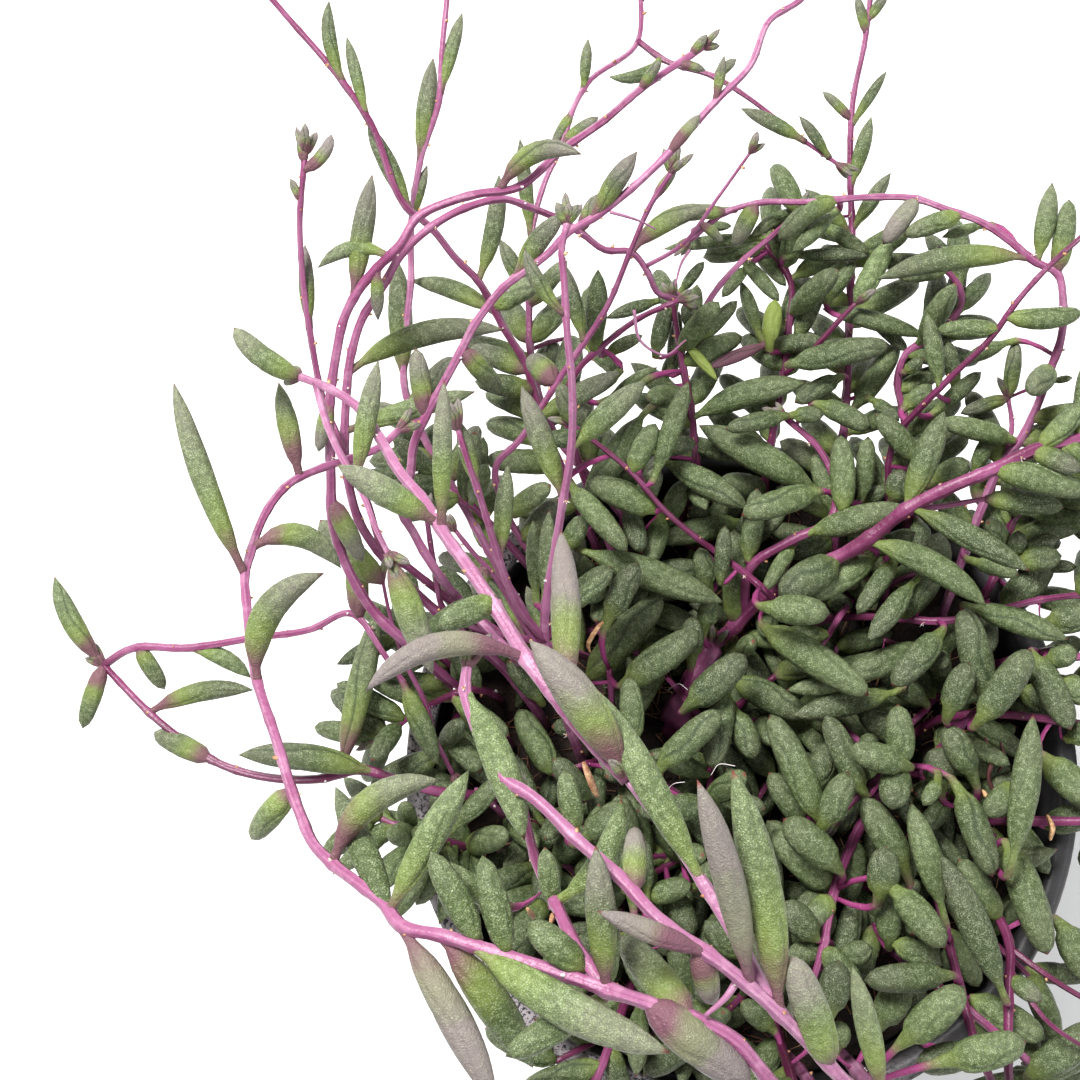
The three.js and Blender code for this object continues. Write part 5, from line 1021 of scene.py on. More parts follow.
def place_read_leaf(spec, clearance=LEAF_CLEARANCE):
    """A read leaf keeps its picture: the whole leaf is raised or lowered until it is clear"""
    base_across, base_down, tip_across, tip_down, width, height = spec
    for lift in READ_LIFTS:
        base = seen([base_across, base_down, height + lift - READ_RISE / 2])
        tip = seen([tip_across, tip_down, height + lift + READ_RISE / 2])
        anchor = anchor_of(base, tip)
        if anchor is None:
            continue
        leaf = new_leaf(anchor[0], base, tip, width, 0, SEEN_ARCH)
        leaf["foot"] = anchor[0]["points"][anchor[1]]
        if leaf_gap(leaf, True) >= clearance:
            keep_leaf(leaf, anchor[1])
            return


# The stems that a leaf by rule may cover in the picture
MOUNDS = ("crown_shoot", "back_mound", "right_mound", "left_mound", "right_low")
GUARD_SHARE = 0.75
guard = []


def lay_guard():
    """The places in the picture plane that no leaf by rule may cover"""
    kept = [leaf_balls(leaf)[:2] for leaf in leaves]
    for stem_ in stems:
        if not stem_["node"].startswith(MOUNDS):
            kept.append((stem_["points"], taper(stem_, stem_["along"] / stem_["along"][-1])))
    points = np.concatenate([at for at, _ in kept])
    guard[:] = [pictured(points), np.concatenate([radius for _, radius in kept]), points[:, 2]]


def hides(leaf):
    """Whether a leaf would stand in front of anything in the guard"""
    places, radii, heights = guard
    at, radius, _ = leaf_balls(leaf)
    mine = pictured(at)
    apart = np.hypot(mine[:, None, 0] - places[None, :, 0], mine[:, None, 1] - places[None, :, 1])
    reach = (radius[:, None] * GUARD_SHARE + radii[None, :]) * picture_scale(at)[:, None]
    return bool(((apart < reach) & (at[:, None, 2] > heights[None, :])).any())


# A leaf by rule leaves its stem on a spiral, and takes the first turn that is clear
TURNS = [0, 1, -1, 2, -2, 3, -3, 4]
TURN_STEP = 0.75


def place_ruled_leaf(stem_, index, turn, length, width, spread, clearance=LEAF_CLEARANCE,
                     fits=None):
    open_, low, high = spread
    points = stem_["points"]
    base = points[index]
    before = points[max(0, index - 1)]
    after = points[min(len(points) - 1, index + 1)]
    tangent = unit(after - before)
    side = side_of(tangent, 0.2)
    over = np.cross(side, tangent)
    for step in TURNS:
        angle = turn + step * TURN_STEP
        way = (tangent * math.cos(open_) + side * (math.sin(open_) * math.cos(angle))
               + over * (math.sin(open_) * math.sin(angle)))
        way[2] = min(max(way[2], low), high)
        leaf = new_leaf(stem_, base, base + unit(way) * length, width, 0, RULED_ARCH)
        if leaf_gap(leaf, True) >= clearance and not hides(leaf) and (fits is None or fits(leaf)):
            keep_leaf(leaf, index)
            return


# Rules for the leaves along a stem. They stand some times their spacing apart, and gap, size and
# width are the least and extent of a random factor. They shrink past a share of the stem, leave it
# by their spread, and are placed where they are clear and fit
SHRINK_FROM = 0.6
SOLID_FILL = {"apart": 6.0, "gap": (0.85, 0.3), "size": (0.85, 0.3), "width": (0.9, 0.2),
              "shrink": 0.35, "spread": STEM_LEAVES, "clearance": LEAF_CLEARANCE, "fits": None}
CROWN_WIDTHS = (0.88, 0.22)


def fill_stem(stem_, seed, rule):
    start, stop, spacing, length, width = stem_["spec"]["fill"]
    draw = stream(seed)
    total = stem_["along"][-1]
    turn = any_turn(draw)
    following = start * total
    for index, arc in enumerate(stem_["along"]):
        if arc < following or arc > stop * total:
            continue
        following = arc + rule["apart"] * spacing * varied(rule["gap"], draw)
        turn += GOLDEN_ANGLE
        shrink = 1 - rule["shrink"] * max(0, arc / total - SHRINK_FROM)
        size = varied(rule["size"], draw) * shrink
        place_ruled_leaf(stem_, index, turn, length * size, width * varied(rule["width"], draw),
                         rule["spread"], rule["clearance"], rule["fits"])


def fill_stems(seed, rule):
    for index, stem_ in enumerate(stems):
        if stem_["spec"].get("fill"):
            fill_stem(stem_, seed + index, rule)


def fill_crown(stem_, seed):
    draw = stream(seed)
    turn = any_turn(draw)
    length = between(CROWN_LEAF, draw())
    width = CROWN_LEAF_WIDTH * varied(CROWN_WIDTHS, draw)
    place_ruled_leaf(stem_, len(stem_["points"]) - 1, turn, length, width, CROWN_SPREAD)


def lay_leaves():
    for stem_ in stems:
        for spec in stem_["spec"]["leaves"]:
            place_seen_leaf(stem_, spec)
    for spec in READ_LEAVES:
        place_read_leaf(spec)
    lay_guard()
    for index, stem_ in enumerate(stems):
        if stem_["spec"].get("crown"):
            fill_crown(stem_, CROWN_FILL_SEED + index)
    fill_stems(FILL_SEED, SOLID_FILL)


# More leaves than the solids have, on the same stems. The pairs are a least and an extent
EXTRA_CLEARANCE = 0.1
EXTRA_SEED = 5000
EXTRA_TRIES = 1700
EXTRA_BEYOND = 1.5
EXTRA_PLACES = (0.25, 0.75)
EXTRA_LENGTHS = (10.5, 5.5)
EXTRA_WIDTHS = (3.4, 1.4)
EXTRA_ANGLES = (0.9, 0.5)
EXTRA_SLOPES = (-0.25, 0.6)


def stays_in(leaf):
    """Whether a leaf stays within the box of the part's solids"""
    at, radius, _ = leaf_balls(leaf)
    low, high = (np.array(corner) / MM for corner in cad_box)
    return bool((at - radius[:, None] > low - EXTRA_BEYOND).all()
                and (at + radius[:, None] < high + EXTRA_BEYOND).all())


EXTRA_FILL = {"apart": 0.55, "gap": (0.8, 0.4), "size": (0.8, 0.35), "width": (0.86, 0.24),
              "shrink": 0, "spread": (1.1, -0.4, 0.8), "clearance": EXTRA_CLEARANCE,
              "fits": stays_in}


def lay_extras():
    for spec in SMALL_READ_LEAVES:
        place_read_leaf(spec, EXTRA_CLEARANCE)
    lay_guard()
    fill_stems(EXTRA_SEED, EXTRA_FILL)
    draw = stream(EXTRA_SEED - 1)
    mounds = [stem_ for stem_ in stems if stem_["node"].startswith(MOUNDS)]
    for _ in range(EXTRA_TRIES):
        stem_ = mounds[int(draw() * len(mounds))]
        index = half_up((len(stem_["points"]) - 1) * varied(EXTRA_PLACES, draw))
        length = varied(EXTRA_LENGTHS, draw)
        width = varied(EXTRA_WIDTHS, draw)
        turn = any_turn(draw)
        place_ruled_leaf(stem_, index, turn, length, width,
                         (varied(EXTRA_ANGLES, draw), *EXTRA_SLOPES), EXTRA_CLEARANCE, stays_in)


# Meshes. A shape collects the points and faces of one piece, in millimetres, with the values
# that its materials read at each point
# On a leaf, crease is the strength of the painted shade in its groove; on a stem it is the ridge
# profile, and on dried leaves and hairs how dark they are
VALUES = ["along", "tone", "flush", "crease", "bloom"]


class Shape:
    def __init__(self):
        self.points = []
        self.values = []
        self.quads = []
        self.tris = []
        self.quad_slots = []
        self.tri_slots = []
        self.count = 0

    def add_skin(self, rings, first, last, slot, **values):
        """A closed skin over rings of points, with a point at each end"""
        count, sides = rings.shape[:2]
        points = np.concatenate([rings.reshape(-1, 3), [first, last]])
        self.points.append(points)
        self.values.append(np.stack([np.broadcast_to(values.get(name, 0), len(points))
                                     for name in VALUES], axis=1))
        i = np.arange(count - 1)[:, None]
        j = np.arange(sides)
        after = (j + 1) % sides
        quads = np.stack([i * sides + j, (i + 1) * sides + j, (i + 1) * sides + after,
                          i * sides + after], axis=-1).reshape(-1, 4)
        foot = np.full(sides, count * sides)
        top = (count - 1) * sides
        tris = np.concatenate([np.stack([foot, j, after], axis=-1),
                               np.stack([foot + 1, top + after, top + j], axis=-1)])
        self.quads.append(quads + self.count)
        self.tris.append(tris + self.count)
        self.quad_slots.append(np.full(len(quads), slot))
        self.tri_slots.append(np.full(len(tris), slot))
        self.count += len(points)

    def add_tube(self, line, radii, sides, slot, **values):
        self.add_skin(tube(line, radii, sides), line[0], line[-1], slot, **values)

    def piece(self, name, materials):
        """The shape as a Blender object in metres"""
        points = np.concatenate(self.points) * MM
        faces = np.concatenate(self.quads).tolist() + np.concatenate(self.tris).tolist()
        mesh = bpy.data.meshes.new(name)
        mesh.from_pydata(points.tolist(), [], faces)
        slots = np.concatenate(self.quad_slots + self.tri_slots)
        mesh.polygons.foreach_set("material_index", slots)
        mesh.polygons.foreach_set("use_smooth", np.full(len(slots), True))
        values = np.concatenate(self.values)
        for i, value in enumerate(VALUES):
            layer = mesh.attributes.new(value, "FLOAT", "POINT")
            layer.data.foreach_set("value", values[:, i].astype(np.float32))
        for material in materials:
            mesh.materials.append(material)
        mesh.validate()
        mesh.update()
        piece = bpy.data.objects.new(name, mesh)
        bpy.context.scene.collection.objects.link(piece)
        return piece


def unit_rows(rows):
    return rows / np.maximum(np.linalg.norm(rows, axis=1), 1e-9)[:, None]


def tangents(points):
    out = np.empty_like(points)
    out[1:-1] = points[2:] - points[:-2]
    out[0] = points[1] - points[0]
    out[-1] = points[-1] - points[-2]
    return unit_rows(out)


SIDE_LEAST = 0.1


def carried_frames(points):
    """Sides and overs along a line that turn as little as they can"""
    along = tangents(points)
    side = np.array([1.0, 0.0, 0.0])
    sides = np.empty_like(points)
    for i, tangent in enumerate(along):
        side = side - tangent * side.dot(tangent)
        if np.linalg.norm(side) < SIDE_LEAST:
            side = np.array([0.0, 1.0, 0.0]) - tangent * tangent[1]
        side = unit(side)
        sides[i] = side
    return along, sides, np.cross(sides, along)


def even_angles(sides):
    return 2 * math.pi * np.arange(sides) / sides


def rings_round(points, side, over, across, upward):
    """Rings of points round a line, from how far they reach to its side and over it"""
    return (points[:, None, :] + side[:, None, :] * across[..., None]
            + over[:, None, :] * upward[..., None])


def tube(points, radii, sides):
    """Rings round a line, with one radius each or one for each point"""
    _, side, over = carried_frames(points)
    angle = even_angles(sides)
    radii = np.broadcast_to(np.asarray(radii, float)[:, None] if np.ndim(radii) == 1 else radii,
                            (len(points), sides))
    return rings_round(points, side, over, radii * np.cos(angle), radii * np.sin(angle))


def round_line(side, over, turn):
    """The direction at a turn round a line"""
    return side * math.cos(turn) + over * math.sin(turn)


# Slots of a leafy stem's materials
STEM_SLOT, LEAF_SLOT, SCAR_SLOT, WOOL_SLOT = 0, 1, 2, 3

STEM_SIDES = 12
STEM_RIDGES = 5
RIDGE_DEPTH = 0.045
RIDGE_TWIST = 0.05
NODE_SWELL = 0.12
NODE_REACH = 0.9


def add_stem_skin(shape, stem_, tone):
    """A stem: a tapered tube with fine ridges, a little thicker where its leaves stand"""
    points = stem_["points"]
    along = stem_["along"]
    share = along / along[-1]
    radii = taper(stem_, share)
    for mark in stem_["marks"] + stem_["scars"]:
        radii = radii * (1 + NODE_SWELL * np.exp(-((along - along[mark]) / NODE_REACH) ** 2))
    if stem_["rooted"]:
        root = points[0].copy()
        root[2] = SOIL_Z - ROOT_DEPTH
        points = np.concatenate([[root], points])
        radii = np.concatenate([[radii[0]], radii])
        share = np.concatenate([[0.0], share])
    twist = RIDGE_TWIST * arcs(points)
    ridge = np.cos(STEM_RIDGES * even_angles(STEM_SIDES) + twist[:, None])
    rings = tube(points, radii[:, None] * (1 + RIDGE_DEPTH * ridge), STEM_SIDES)
    end = points[-1] + unit(points[-1] - points[-2]) * radii[-1]
    shape.add_skin(rings, points[0], end, STEM_SLOT, tone=tone,
                   along=np.concatenate([np.repeat(share, STEM_SIDES), [share[0], 1.0]]),
                   crease=np.concatenate([ridge.reshape(-1), [0, 0]]))


LEAF_THICKNESS = 0.8
GROOVE_DEPTH = 0.12
GROOVE_WIDTH = 8.0
GROOVE_ANGLES = [0, 8, 18, 42, 75, 110, 145, 180, 215, 250, 285, 318, 342, 352]
GROOVE_SWAY = 16.0
GROOVE_WAVES = 1.4
# The least strength of the painted shade in a leaf's groove
GROOVE_LEAST = 0.15
GROOVE_START = 0.12
GROOVE_STOP = 0.1
ROLL_MOST = 45
# Slim and plump leaves: how slim the base is and up to where, how far the tip narrows and from
# where
SLIM_ENDS = (0.5, 0.24, 0.22, 0.2)
PLUMP_ENDS = (0.66, 0.16, 0.12, 0.14)
PETIOLE = 0.42
PETIOLE_MOST = 0.2
PETIOLE_FLARE = 0.9
BASE_SWELL = 1.5
BASE_END = 0.3
TIP_POINT = 0.35
BLUNTER = 0.9
NECK_RINGS = 4
NECK_BEND = 0.45
NECK_ALONG = -0.3
LEAF_RING_STEP = 1.25
LEAF_RINGS_LEAST = 9
LEAF_RINGS_MOST = 22
LEAF_STEP = 0.01
LEVEL_LEAST = 0.05


def petiole(leaf):
    return min(PETIOLE, PETIOLE_MOST * leaf["width"])


def neck_rings(leaf, side, ahead, angle):
    """The rings of a leaf's neck, which bends up from its foot into the leaf's base"""
    foot, base = leaf["foot"], leaf["base"]
    bend = base - ahead * np.linalg.norm(base - foot) * NECK_BEND
    t = (np.arange(NECK_RINGS) / NECK_RINGS)[:, None]
    u = 1 - t
    centre = foot * u * u + bend * 2 * u * t + base * t ** 2
    along = unit_rows((bend - foot) * u + (base - bend) * t)
    over = unit_rows(np.cross(side, along))
    size = petiole(leaf) * (1 + PETIOLE_FLARE * t)
    return rings_round(centre, np.broadcast_to(side, centre.shape), over, size * np.cos(angle),
                       size * np.sin(angle))


def add_leaf(shape, leaf, tone, flush, bloom, roll, plain=False):
    """A plump leaf with a groove along its upper side and a small point at its tip. The groove gets
    painted shade, a darker colour, except on a plain one"""
    count = half_up(leaf["length"] / LEAF_RING_STEP)
    count = max(LEAF_RINGS_LEAST, min(LEAF_RINGS_MOST, count))
    u = np.linspace(0, 1, count + 1)
    t = (0.5 * u + 0.5 * (0.5 - 0.5 * np.cos(math.pi * u)))[:-1]
    ahead = unit_rows(leaf_at(leaf, np.minimum(t + LEAF_STEP, 1))
                      - leaf_at(leaf, np.maximum(t - LEAF_STEP, 0)))
    side = np.cross(ahead, UP)
    upright = np.linalg.norm(side, axis=1) < LEVEL_LEAST
    side[upright] = [1.0, 0.0, 0.0]
    side = unit_rows(side)
    over = np.cross(side, ahead)
    fullness, bluntness = leaf["form"]
    half = leaf["width"] / 2 * (4 * t ** fullness * (1 - t ** fullness)) ** (bluntness * BLUNTER)
    slim, slim_to, narrow, narrow_from = SLIM_ENDS if leaf["form"] == SLIM_FORM else PLUMP_ENDS
    neck = np.clip(t / slim_to, 0, 1)
    half = half * (slim + (1 - slim) * neck * neck * (3 - 2 * neck))
    point = np.clip((t - 1 + narrow_from) / narrow_from, 0, 1)
    half = half * (1 - narrow * point * point)
    half = np.maximum(half, np.where(t < BASE_END, petiole(leaf) * BASE_SWELL, 0.0))
    degrees = np.array(GROOVE_ANGLES, float)
    away = np.minimum(degrees, 360 - degrees)
    crease = np.exp(-(away / GROOVE_WIDTH) ** 2)
    fade = np.clip(t / GROOVE_START, 0, 1) * np.clip((1 - t) / GROOVE_STOP, 0, 1)
    sway = GROOVE_SWAY * np.sin(2 * math.pi * (t * GROOVE_WAVES + roll / ROLL_MOST))
    angle = np.radians(90 + roll + sway[:, None] + degrees)
    reach = half[:, None] * (1 - GROOVE_DEPTH * crease[None, :] * fade[:, None])
    rings = rings_round(leaf_at(leaf, t), side, over, reach * np.cos(angle),
                        LEAF_THICKNESS * reach * np.sin(angle))
    end = leaf["tip"] + ahead[-1] * TIP_POINT
    first = leaf["base"]
    if "foot" in leaf:
        first = leaf["foot"]
        rings = np.concatenate([neck_rings(leaf, side[1], ahead[1], angle[0]), rings[1:]])
        t = np.concatenate([np.linspace(NECK_ALONG, 0, NECK_RINGS), t[1:]])
        fade = np.concatenate([np.zeros(NECK_RINGS), fade[1:]])
    # How dark the painted shade in the groove is differs from leaf to leaf, without a draw of its
    # own
    groove_shade = GROOVE_LEAST + (1 - GROOVE_LEAST) * (7 * tone + 11 * roll / ROLL_MOST) ** 2 % 1
    groove_shade = 0 if plain else groove_shade ** 2
    crease = (crease[None, :] * fade[:, None] * groove_shade).reshape(-1)
    shape.add_skin(rings, first, end, LEAF_SLOT, tone=tone, flush=flush, bloom=bloom,
                   along=np.concatenate([np.repeat(t, len(degrees)), [t[0], 1.0]]),
                   crease=np.concatenate([crease, [0, 0]]))


SCAR_SIDES = 6
SCAR_RADII = np.array([0.46, 0.34, 0.24])


def add_scar(shape, at, out, ahead, size, tone):
    """A small blunt scar of a fallen leaf, bent towards the stem's tip"""
    line = np.array([at, at + out * 0.5 * size + ahead * 0.1 * size,
                     at + out * 0.85 * size + ahead * 0.3 * size])
    rings = tube(line, SCAR_RADII * size, SCAR_SIDES)
    end = line[-1] + (out * 0.12 + ahead * 0.1) * size
    shape.add_skin(rings, line[0], end, SCAR_SLOT, tone=tone,
                   along=np.concatenate([np.repeat([0, 0.5, 0.9], SCAR_SIDES), [0, 1]]))


WOOL_SIDES = 3
WOOL_RADII = np.array([0.09, 0.08, 0.04])
WOOL_LENGTHS = (0.7, 0.7)
WOOL_SPREAD = 1.7
WOOL_BEND = 0.9
WOOL_POINT = 0.1


def add_wool(shape, at, out, size, draw, count=5, slot=WOOL_SLOT, width=1.0, tint=0.0):
    """A tuft of white wool in a leaf's axil, or of other hairs"""
    for _ in range(count):
        way = unit(out + any_way(draw) * WOOL_SPREAD)
        bend = any_way(draw) * WOOL_BEND
        length = size * varied(WOOL_LENGTHS, draw)
        line = np.array([at, at + way * length * 0.5 + bend * length * 0.3,
                         at + way * length + bend * length * 0.2])
        rings = tube(line, WOOL_RADII * width, WOOL_SIDES)
        shape.add_skin(rings, line[0], line[-1] + way * WOOL_POINT, slot, crease=tint)


# Materials
class Nodes:
    """A material's node tree, with short calls for the nodes that are used often"""

    def __init__(self, name):
        self.material = bpy.data.materials.new(name)
        self.material.use_nodes = True
        self.tree = self.material.node_tree
        self.shader = self.tree.nodes["Principled BSDF"]
        self.place = self.add("ShaderNodeTexCoord").outputs["Object"]

    def add(self, kind):
        return self.tree.nodes.new(kind)

    def join(self, value, socket):
        if isinstance(value, (int, float)):
            socket.default_value = value
        elif isinstance(value, tuple):
            socket.default_value = (*value, 1.0)
        else:
            self.tree.links.new(value, socket)

    def math(self, operation, a, b, clamp=False):
        node = self.add("ShaderNodeMath")
        node.operation = operation
        node.use_clamp = clamp
        self.join(a, node.inputs[0])
        self.join(b, node.inputs[1])
        return node.outputs[0]

    def plus(self, a, b):
        return self.math("ADD", a, b)

    def times(self, a, b, clamp=False):
        return self.math("MULTIPLY", a, b, clamp)

    def span(self, value, low, high, to_low=0.0, to_high=1.0):
        node = self.add("ShaderNodeMapRange")
        node.interpolation_type = "SMOOTHSTEP"
        self.join(value, node.inputs["Value"])
        node.inputs["From Min"].default_value = low
        node.inputs["From Max"].default_value = high
        node.inputs["To Min"].default_value = to_low
        node.inputs["To Max"].default_value = to_high
        return node.outputs["Result"]

    def mix(self, factor, a, b):
        node = self.add("ShaderNodeMix")
        node.data_type = "RGBA"
        self.join(factor, node.inputs["Factor"])
        self.join(a, node.inputs[6])
        self.join(b, node.inputs[7])
        return node.outputs[2]

    def noise(self, scale, detail=3.0, roughness=0.55):
        node = self.add("ShaderNodeTexNoise")
        node.inputs["Scale"].default_value = scale
        node.inputs["Detail"].default_value = detail
        node.inputs["Roughness"].default_value = roughness
        self.tree.links.new(self.place, node.inputs["Vector"])
        return node.outputs["Fac"]

    def cells(self, scale, feature="F1"):
        node = self.add("ShaderNodeTexVoronoi")
        node.feature = feature
        node.inputs["Scale"].default_value = scale
        self.tree.links.new(self.place, node.inputs["Vector"])
        return node.outputs["Distance"]

    def value(self, name):
        node = self.add("ShaderNodeAttribute")
        node.attribute_name = name
        return node.outputs["Fac"]

    def bump(self, height, distance):
        node = self.add("ShaderNodeBump")
        node.inputs["Strength"].default_value = 1.0
        node.inputs["Distance"].default_value = distance
        self.join(height, node.inputs["Height"])
        self.tree.links.new(node.outputs["Normal"], self.shader.inputs["Normal"])

    def set(self, **settings):
        for name, value in settings.items():
            self.join(value, self.shader.inputs[name.replace("_", " ")])
        return self.material


DARK_GREEN = (0.025, 0.040, 0.011)
SAGE = (0.084, 0.124, 0.036)
FRESH_SAGE = (0.172, 0.240, 0.088)
PALE_SAGE = (0.38, 0.43, 0.28)
LIME = (0.21, 0.27, 0.05)
PURPLE = (0.145, 0.045, 0.085)
MAUVE = (0.225, 0.175, 0.19)
TIP_RED = (0.16, 0.045, 0.035)
GROOVE_SHADE = (0.018, 0.032, 0.012)
STEM_DARK = (0.075, 0.010, 0.034)
MAGENTA = (0.25, 0.038, 0.140)
PINK = (0.32, 0.135, 0.24)
STEM_PALE = (0.70, 0.42, 0.56)


def leaf_material():
    n = Nodes("leaf")
    along = n.value("along")
    broad = n.noise(160, 2)
    fine = n.noise(1100, 2, 0.6)
    grain = n.noise(4600, 2, 0.7)
    net = n.cells(3000, "DISTANCE_TO_EDGE")
    speck = n.cells(3300)
    mixed = n.plus(n.times(n.value("tone"), 0.85), n.times(broad, 0.5))
    green = n.mix(n.span(mixed, 0.15, 0.75), DARK_GREEN, SAGE)
    green = n.mix(n.span(mixed, 0.6, 1.2), green, FRESH_SAGE)
    powder = n.times(n.span(grain, 0.46, 0.6), n.span(fine, 0.3, 0.65, 0.35, 1.0))
    powder = n.math("MAXIMUM", powder, n.times(n.span(speck, 0.3, 0.16), 0.85))
    green = n.mix(n.times(powder, 0.55), green, PALE_SAGE)
    green = n.mix(n.times(n.span(net, 0.12, 0.02), 0.6), green, DARK_GREEN)
    green = n.mix(n.times(n.span(fine, 0.6, 0.4), 0.4), green, DARK_GREEN)
    ragged = n.plus(along, n.times(n.math("SUBTRACT", broad, 0.5), 0.35))
    behind = n.math("SUBTRACT", n.value("flush"), ragged)
    limy = n.math("MAXIMUM", n.times(n.span(behind, -0.42, -0.05), 0.45),
                  n.times(n.value("bloom"), -0.75))
    green = n.mix(limy, green, LIME)
    cast = n.times(n.span(ragged, 0.35, 0.85), n.value("bloom"), clamp=True)
    cast = n.math("MAXIMUM", cast, n.span(n.value("bloom"), 1.6, 2.2, 0.0, 0.75))
    green = n.mix(n.times(cast, 0.7), green, MAUVE)
    green = n.mix(n.times(n.span(behind, -0.12, 0.14), 0.85), green, PURPLE)
    # Painted shade: a leaf's groove is darkened by the strength in its crease value
    green = n.mix(n.times(n.span(n.value("crease"), 0.1, 0.9), 0.6), green, GROOVE_SHADE)
    green = n.mix(n.span(along, 0.04, -0.08), green, MAGENTA)
    tipped = n.times(n.span(along, 0.965, 0.992), n.span(broad, 0.46, 0.54))
    green = n.mix(tipped, green, TIP_RED)
    n.bump(n.plus(n.times(fine, 0.7), n.times(net, 0.5)), 0.0003)
    return n.set(Base_Color=green, Roughness=n.span(grain, 0.3, 0.7, 0.62, 0.42),
                 Specular_IOR_Level=0.3)


def stem_material():
    n = Nodes("stem")
    broad = n.noise(110, 2)
    fine = n.noise(1300, 3, 0.6)
    crease = n.value("crease")
    pale = n.times(n.span(n.noise(340, 2), 0.5, 0.66), n.span(n.value("tone"), 0.2, 0.6))
    ripe = n.plus(n.times(n.value("tone"), 0.8), n.times(broad, 0.5))
    colour = n.mix(n.span(ripe, 0.2, 0.75), STEM_DARK, MAGENTA)
    colour = n.mix(n.span(ripe, 0.36, 0.88), colour, PINK)
    # Pale streaks on the ridge crests: partly the stem's own pale lines, partly painted highlight
    streak_and_highlight = n.times(n.span(crease, 0.1, 0.9), n.span(fine, 0.35, 0.6))
    streak_and_highlight = n.times(streak_and_highlight, n.span(n.value("tone"), 0.1, 0.7, 0.06, 0.3))
    colour = n.mix(streak_and_highlight, colour, STEM_PALE)
    # Painted shade in the grooves between the ridges
    colour = n.mix(n.times(n.span(crease, -0.5, -1.0), 0.35), colour, STEM_DARK)
    colour = n.mix(n.times(pale, 0.22), colour, STEM_PALE)
    colour = n.mix(n.span(n.value("along"), 0.0, 0.08, 0.6, 0.0), colour, STEM_DARK)
    n.bump(n.plus(fine, n.times(crease, 0.4)), 0.00015)
    return n.set(Base_Color=colour, Roughness=0.38, Specular_IOR_Level=0.35)


def scar_material():
    n = Nodes("scar")
    colour = n.mix(n.span(n.noise(1500, 3), 0.35, 0.65), (0.42, 0.20, 0.09), (0.70, 0.46, 0.24))
    colour = n.mix(n.span(n.value("along"), 0.5, 1.0), colour, (0.26, 0.10, 0.06))
    colour = n.mix(n.span(n.value("tone"), 0.75, 0.85), colour, (0.80, 0.74, 0.72))
    colour = n.mix(n.span(n.value("crease"), 0.0, 0.8), colour, (0.10, 0.032, 0.030))
    n.bump(n.noise(3500, 2), 0.0002)
    return n.set(Base_Color=colour, Roughness=0.6)


def wool_material():
    n = Nodes("wool")
    colour = n.mix(n.noise(900, 2), (0.72, 0.62, 0.66), (0.92, 0.88, 0.88))
    n.bump(n.noise(6000, 2), 0.00005)
    return n.set(Base_Color=colour, Roughness=0.9)


def soil_material():
    n = Nodes("soil")
    fine = n.noise(700, 5, 0.7)
    colour = n.mix(n.span(n.noise(150, 4), 0.35, 0.65), (0.007, 0.004, 0.003),
                   (0.030, 0.015, 0.010))
    colour = n.mix(n.times(n.span(fine, 0.58, 0.74), 0.7), colour, (0.12, 0.060, 0.032))
    n.bump(n.plus(fine, n.cells(420)), 0.0012)
    return n.set(Base_Color=colour, Roughness=0.95)


def fibre_material():
    n = Nodes("coir_fibre")
    colour = n.mix(n.span(n.noise(60, 2), 0.35, 0.65), (0.10, 0.042, 0.02), (0.42, 0.24, 0.12))
    n.bump(n.noise(2500, 2), 0.0001)
    return n.set(Base_Color=colour, Roughness=0.8)


def pot_material():
    n = Nodes("pot")
    split = n.add("ShaderNodeSeparateXYZ")
    n.tree.links.new(n.place, split.inputs[0])
    x, y, z = split.outputs
    leftness = n.plus(n.times(x, -11.0), n.times(y, -5.5))
    top = n.span(z, 0.0945, 0.0985)
    patchy = n.plus(leftness, n.times(n.noise(70, 3), 0.5))
    crust = n.times(n.span(patchy, 0.12, 0.55), top)
    plain = n.mix(n.noise(260, 4), (0.020, 0.019, 0.021), (0.036, 0.034, 0.037))
    lilac = n.mix(n.noise(420, 3), (0.21, 0.185, 0.20), (0.40, 0.36, 0.385))
    pits = n.span(n.noise(1500, 3, 0.7), 0.60, 0.52)
    colour = n.mix(n.times(crust, pits), plain, lilac)
    dust = n.times(n.span(n.noise(2200, 2), 0.62, 0.74), 0.35)
    colour = n.mix(dust, colour, (0.12, 0.11, 0.11))
    relief = n.plus(n.times(n.times(crust, pits), 0.6),
                    n.times(n.noise(900, 3), 0.25))
    n.bump(relief, 0.00035)
    return n.set(Base_Color=colour, Roughness=n.span(crust, 0.0, 1.0, 0.48, 0.9),
                 Specular_IOR_Level=0.35)


def floor_material():
    n = Nodes("floor")
    colour = n.mix(n.noise(3, 2), (0.90, 0.90, 0.90), (0.93, 0.93, 0.93))
    return n.set(Base_Color=colour, Roughness=0.8)


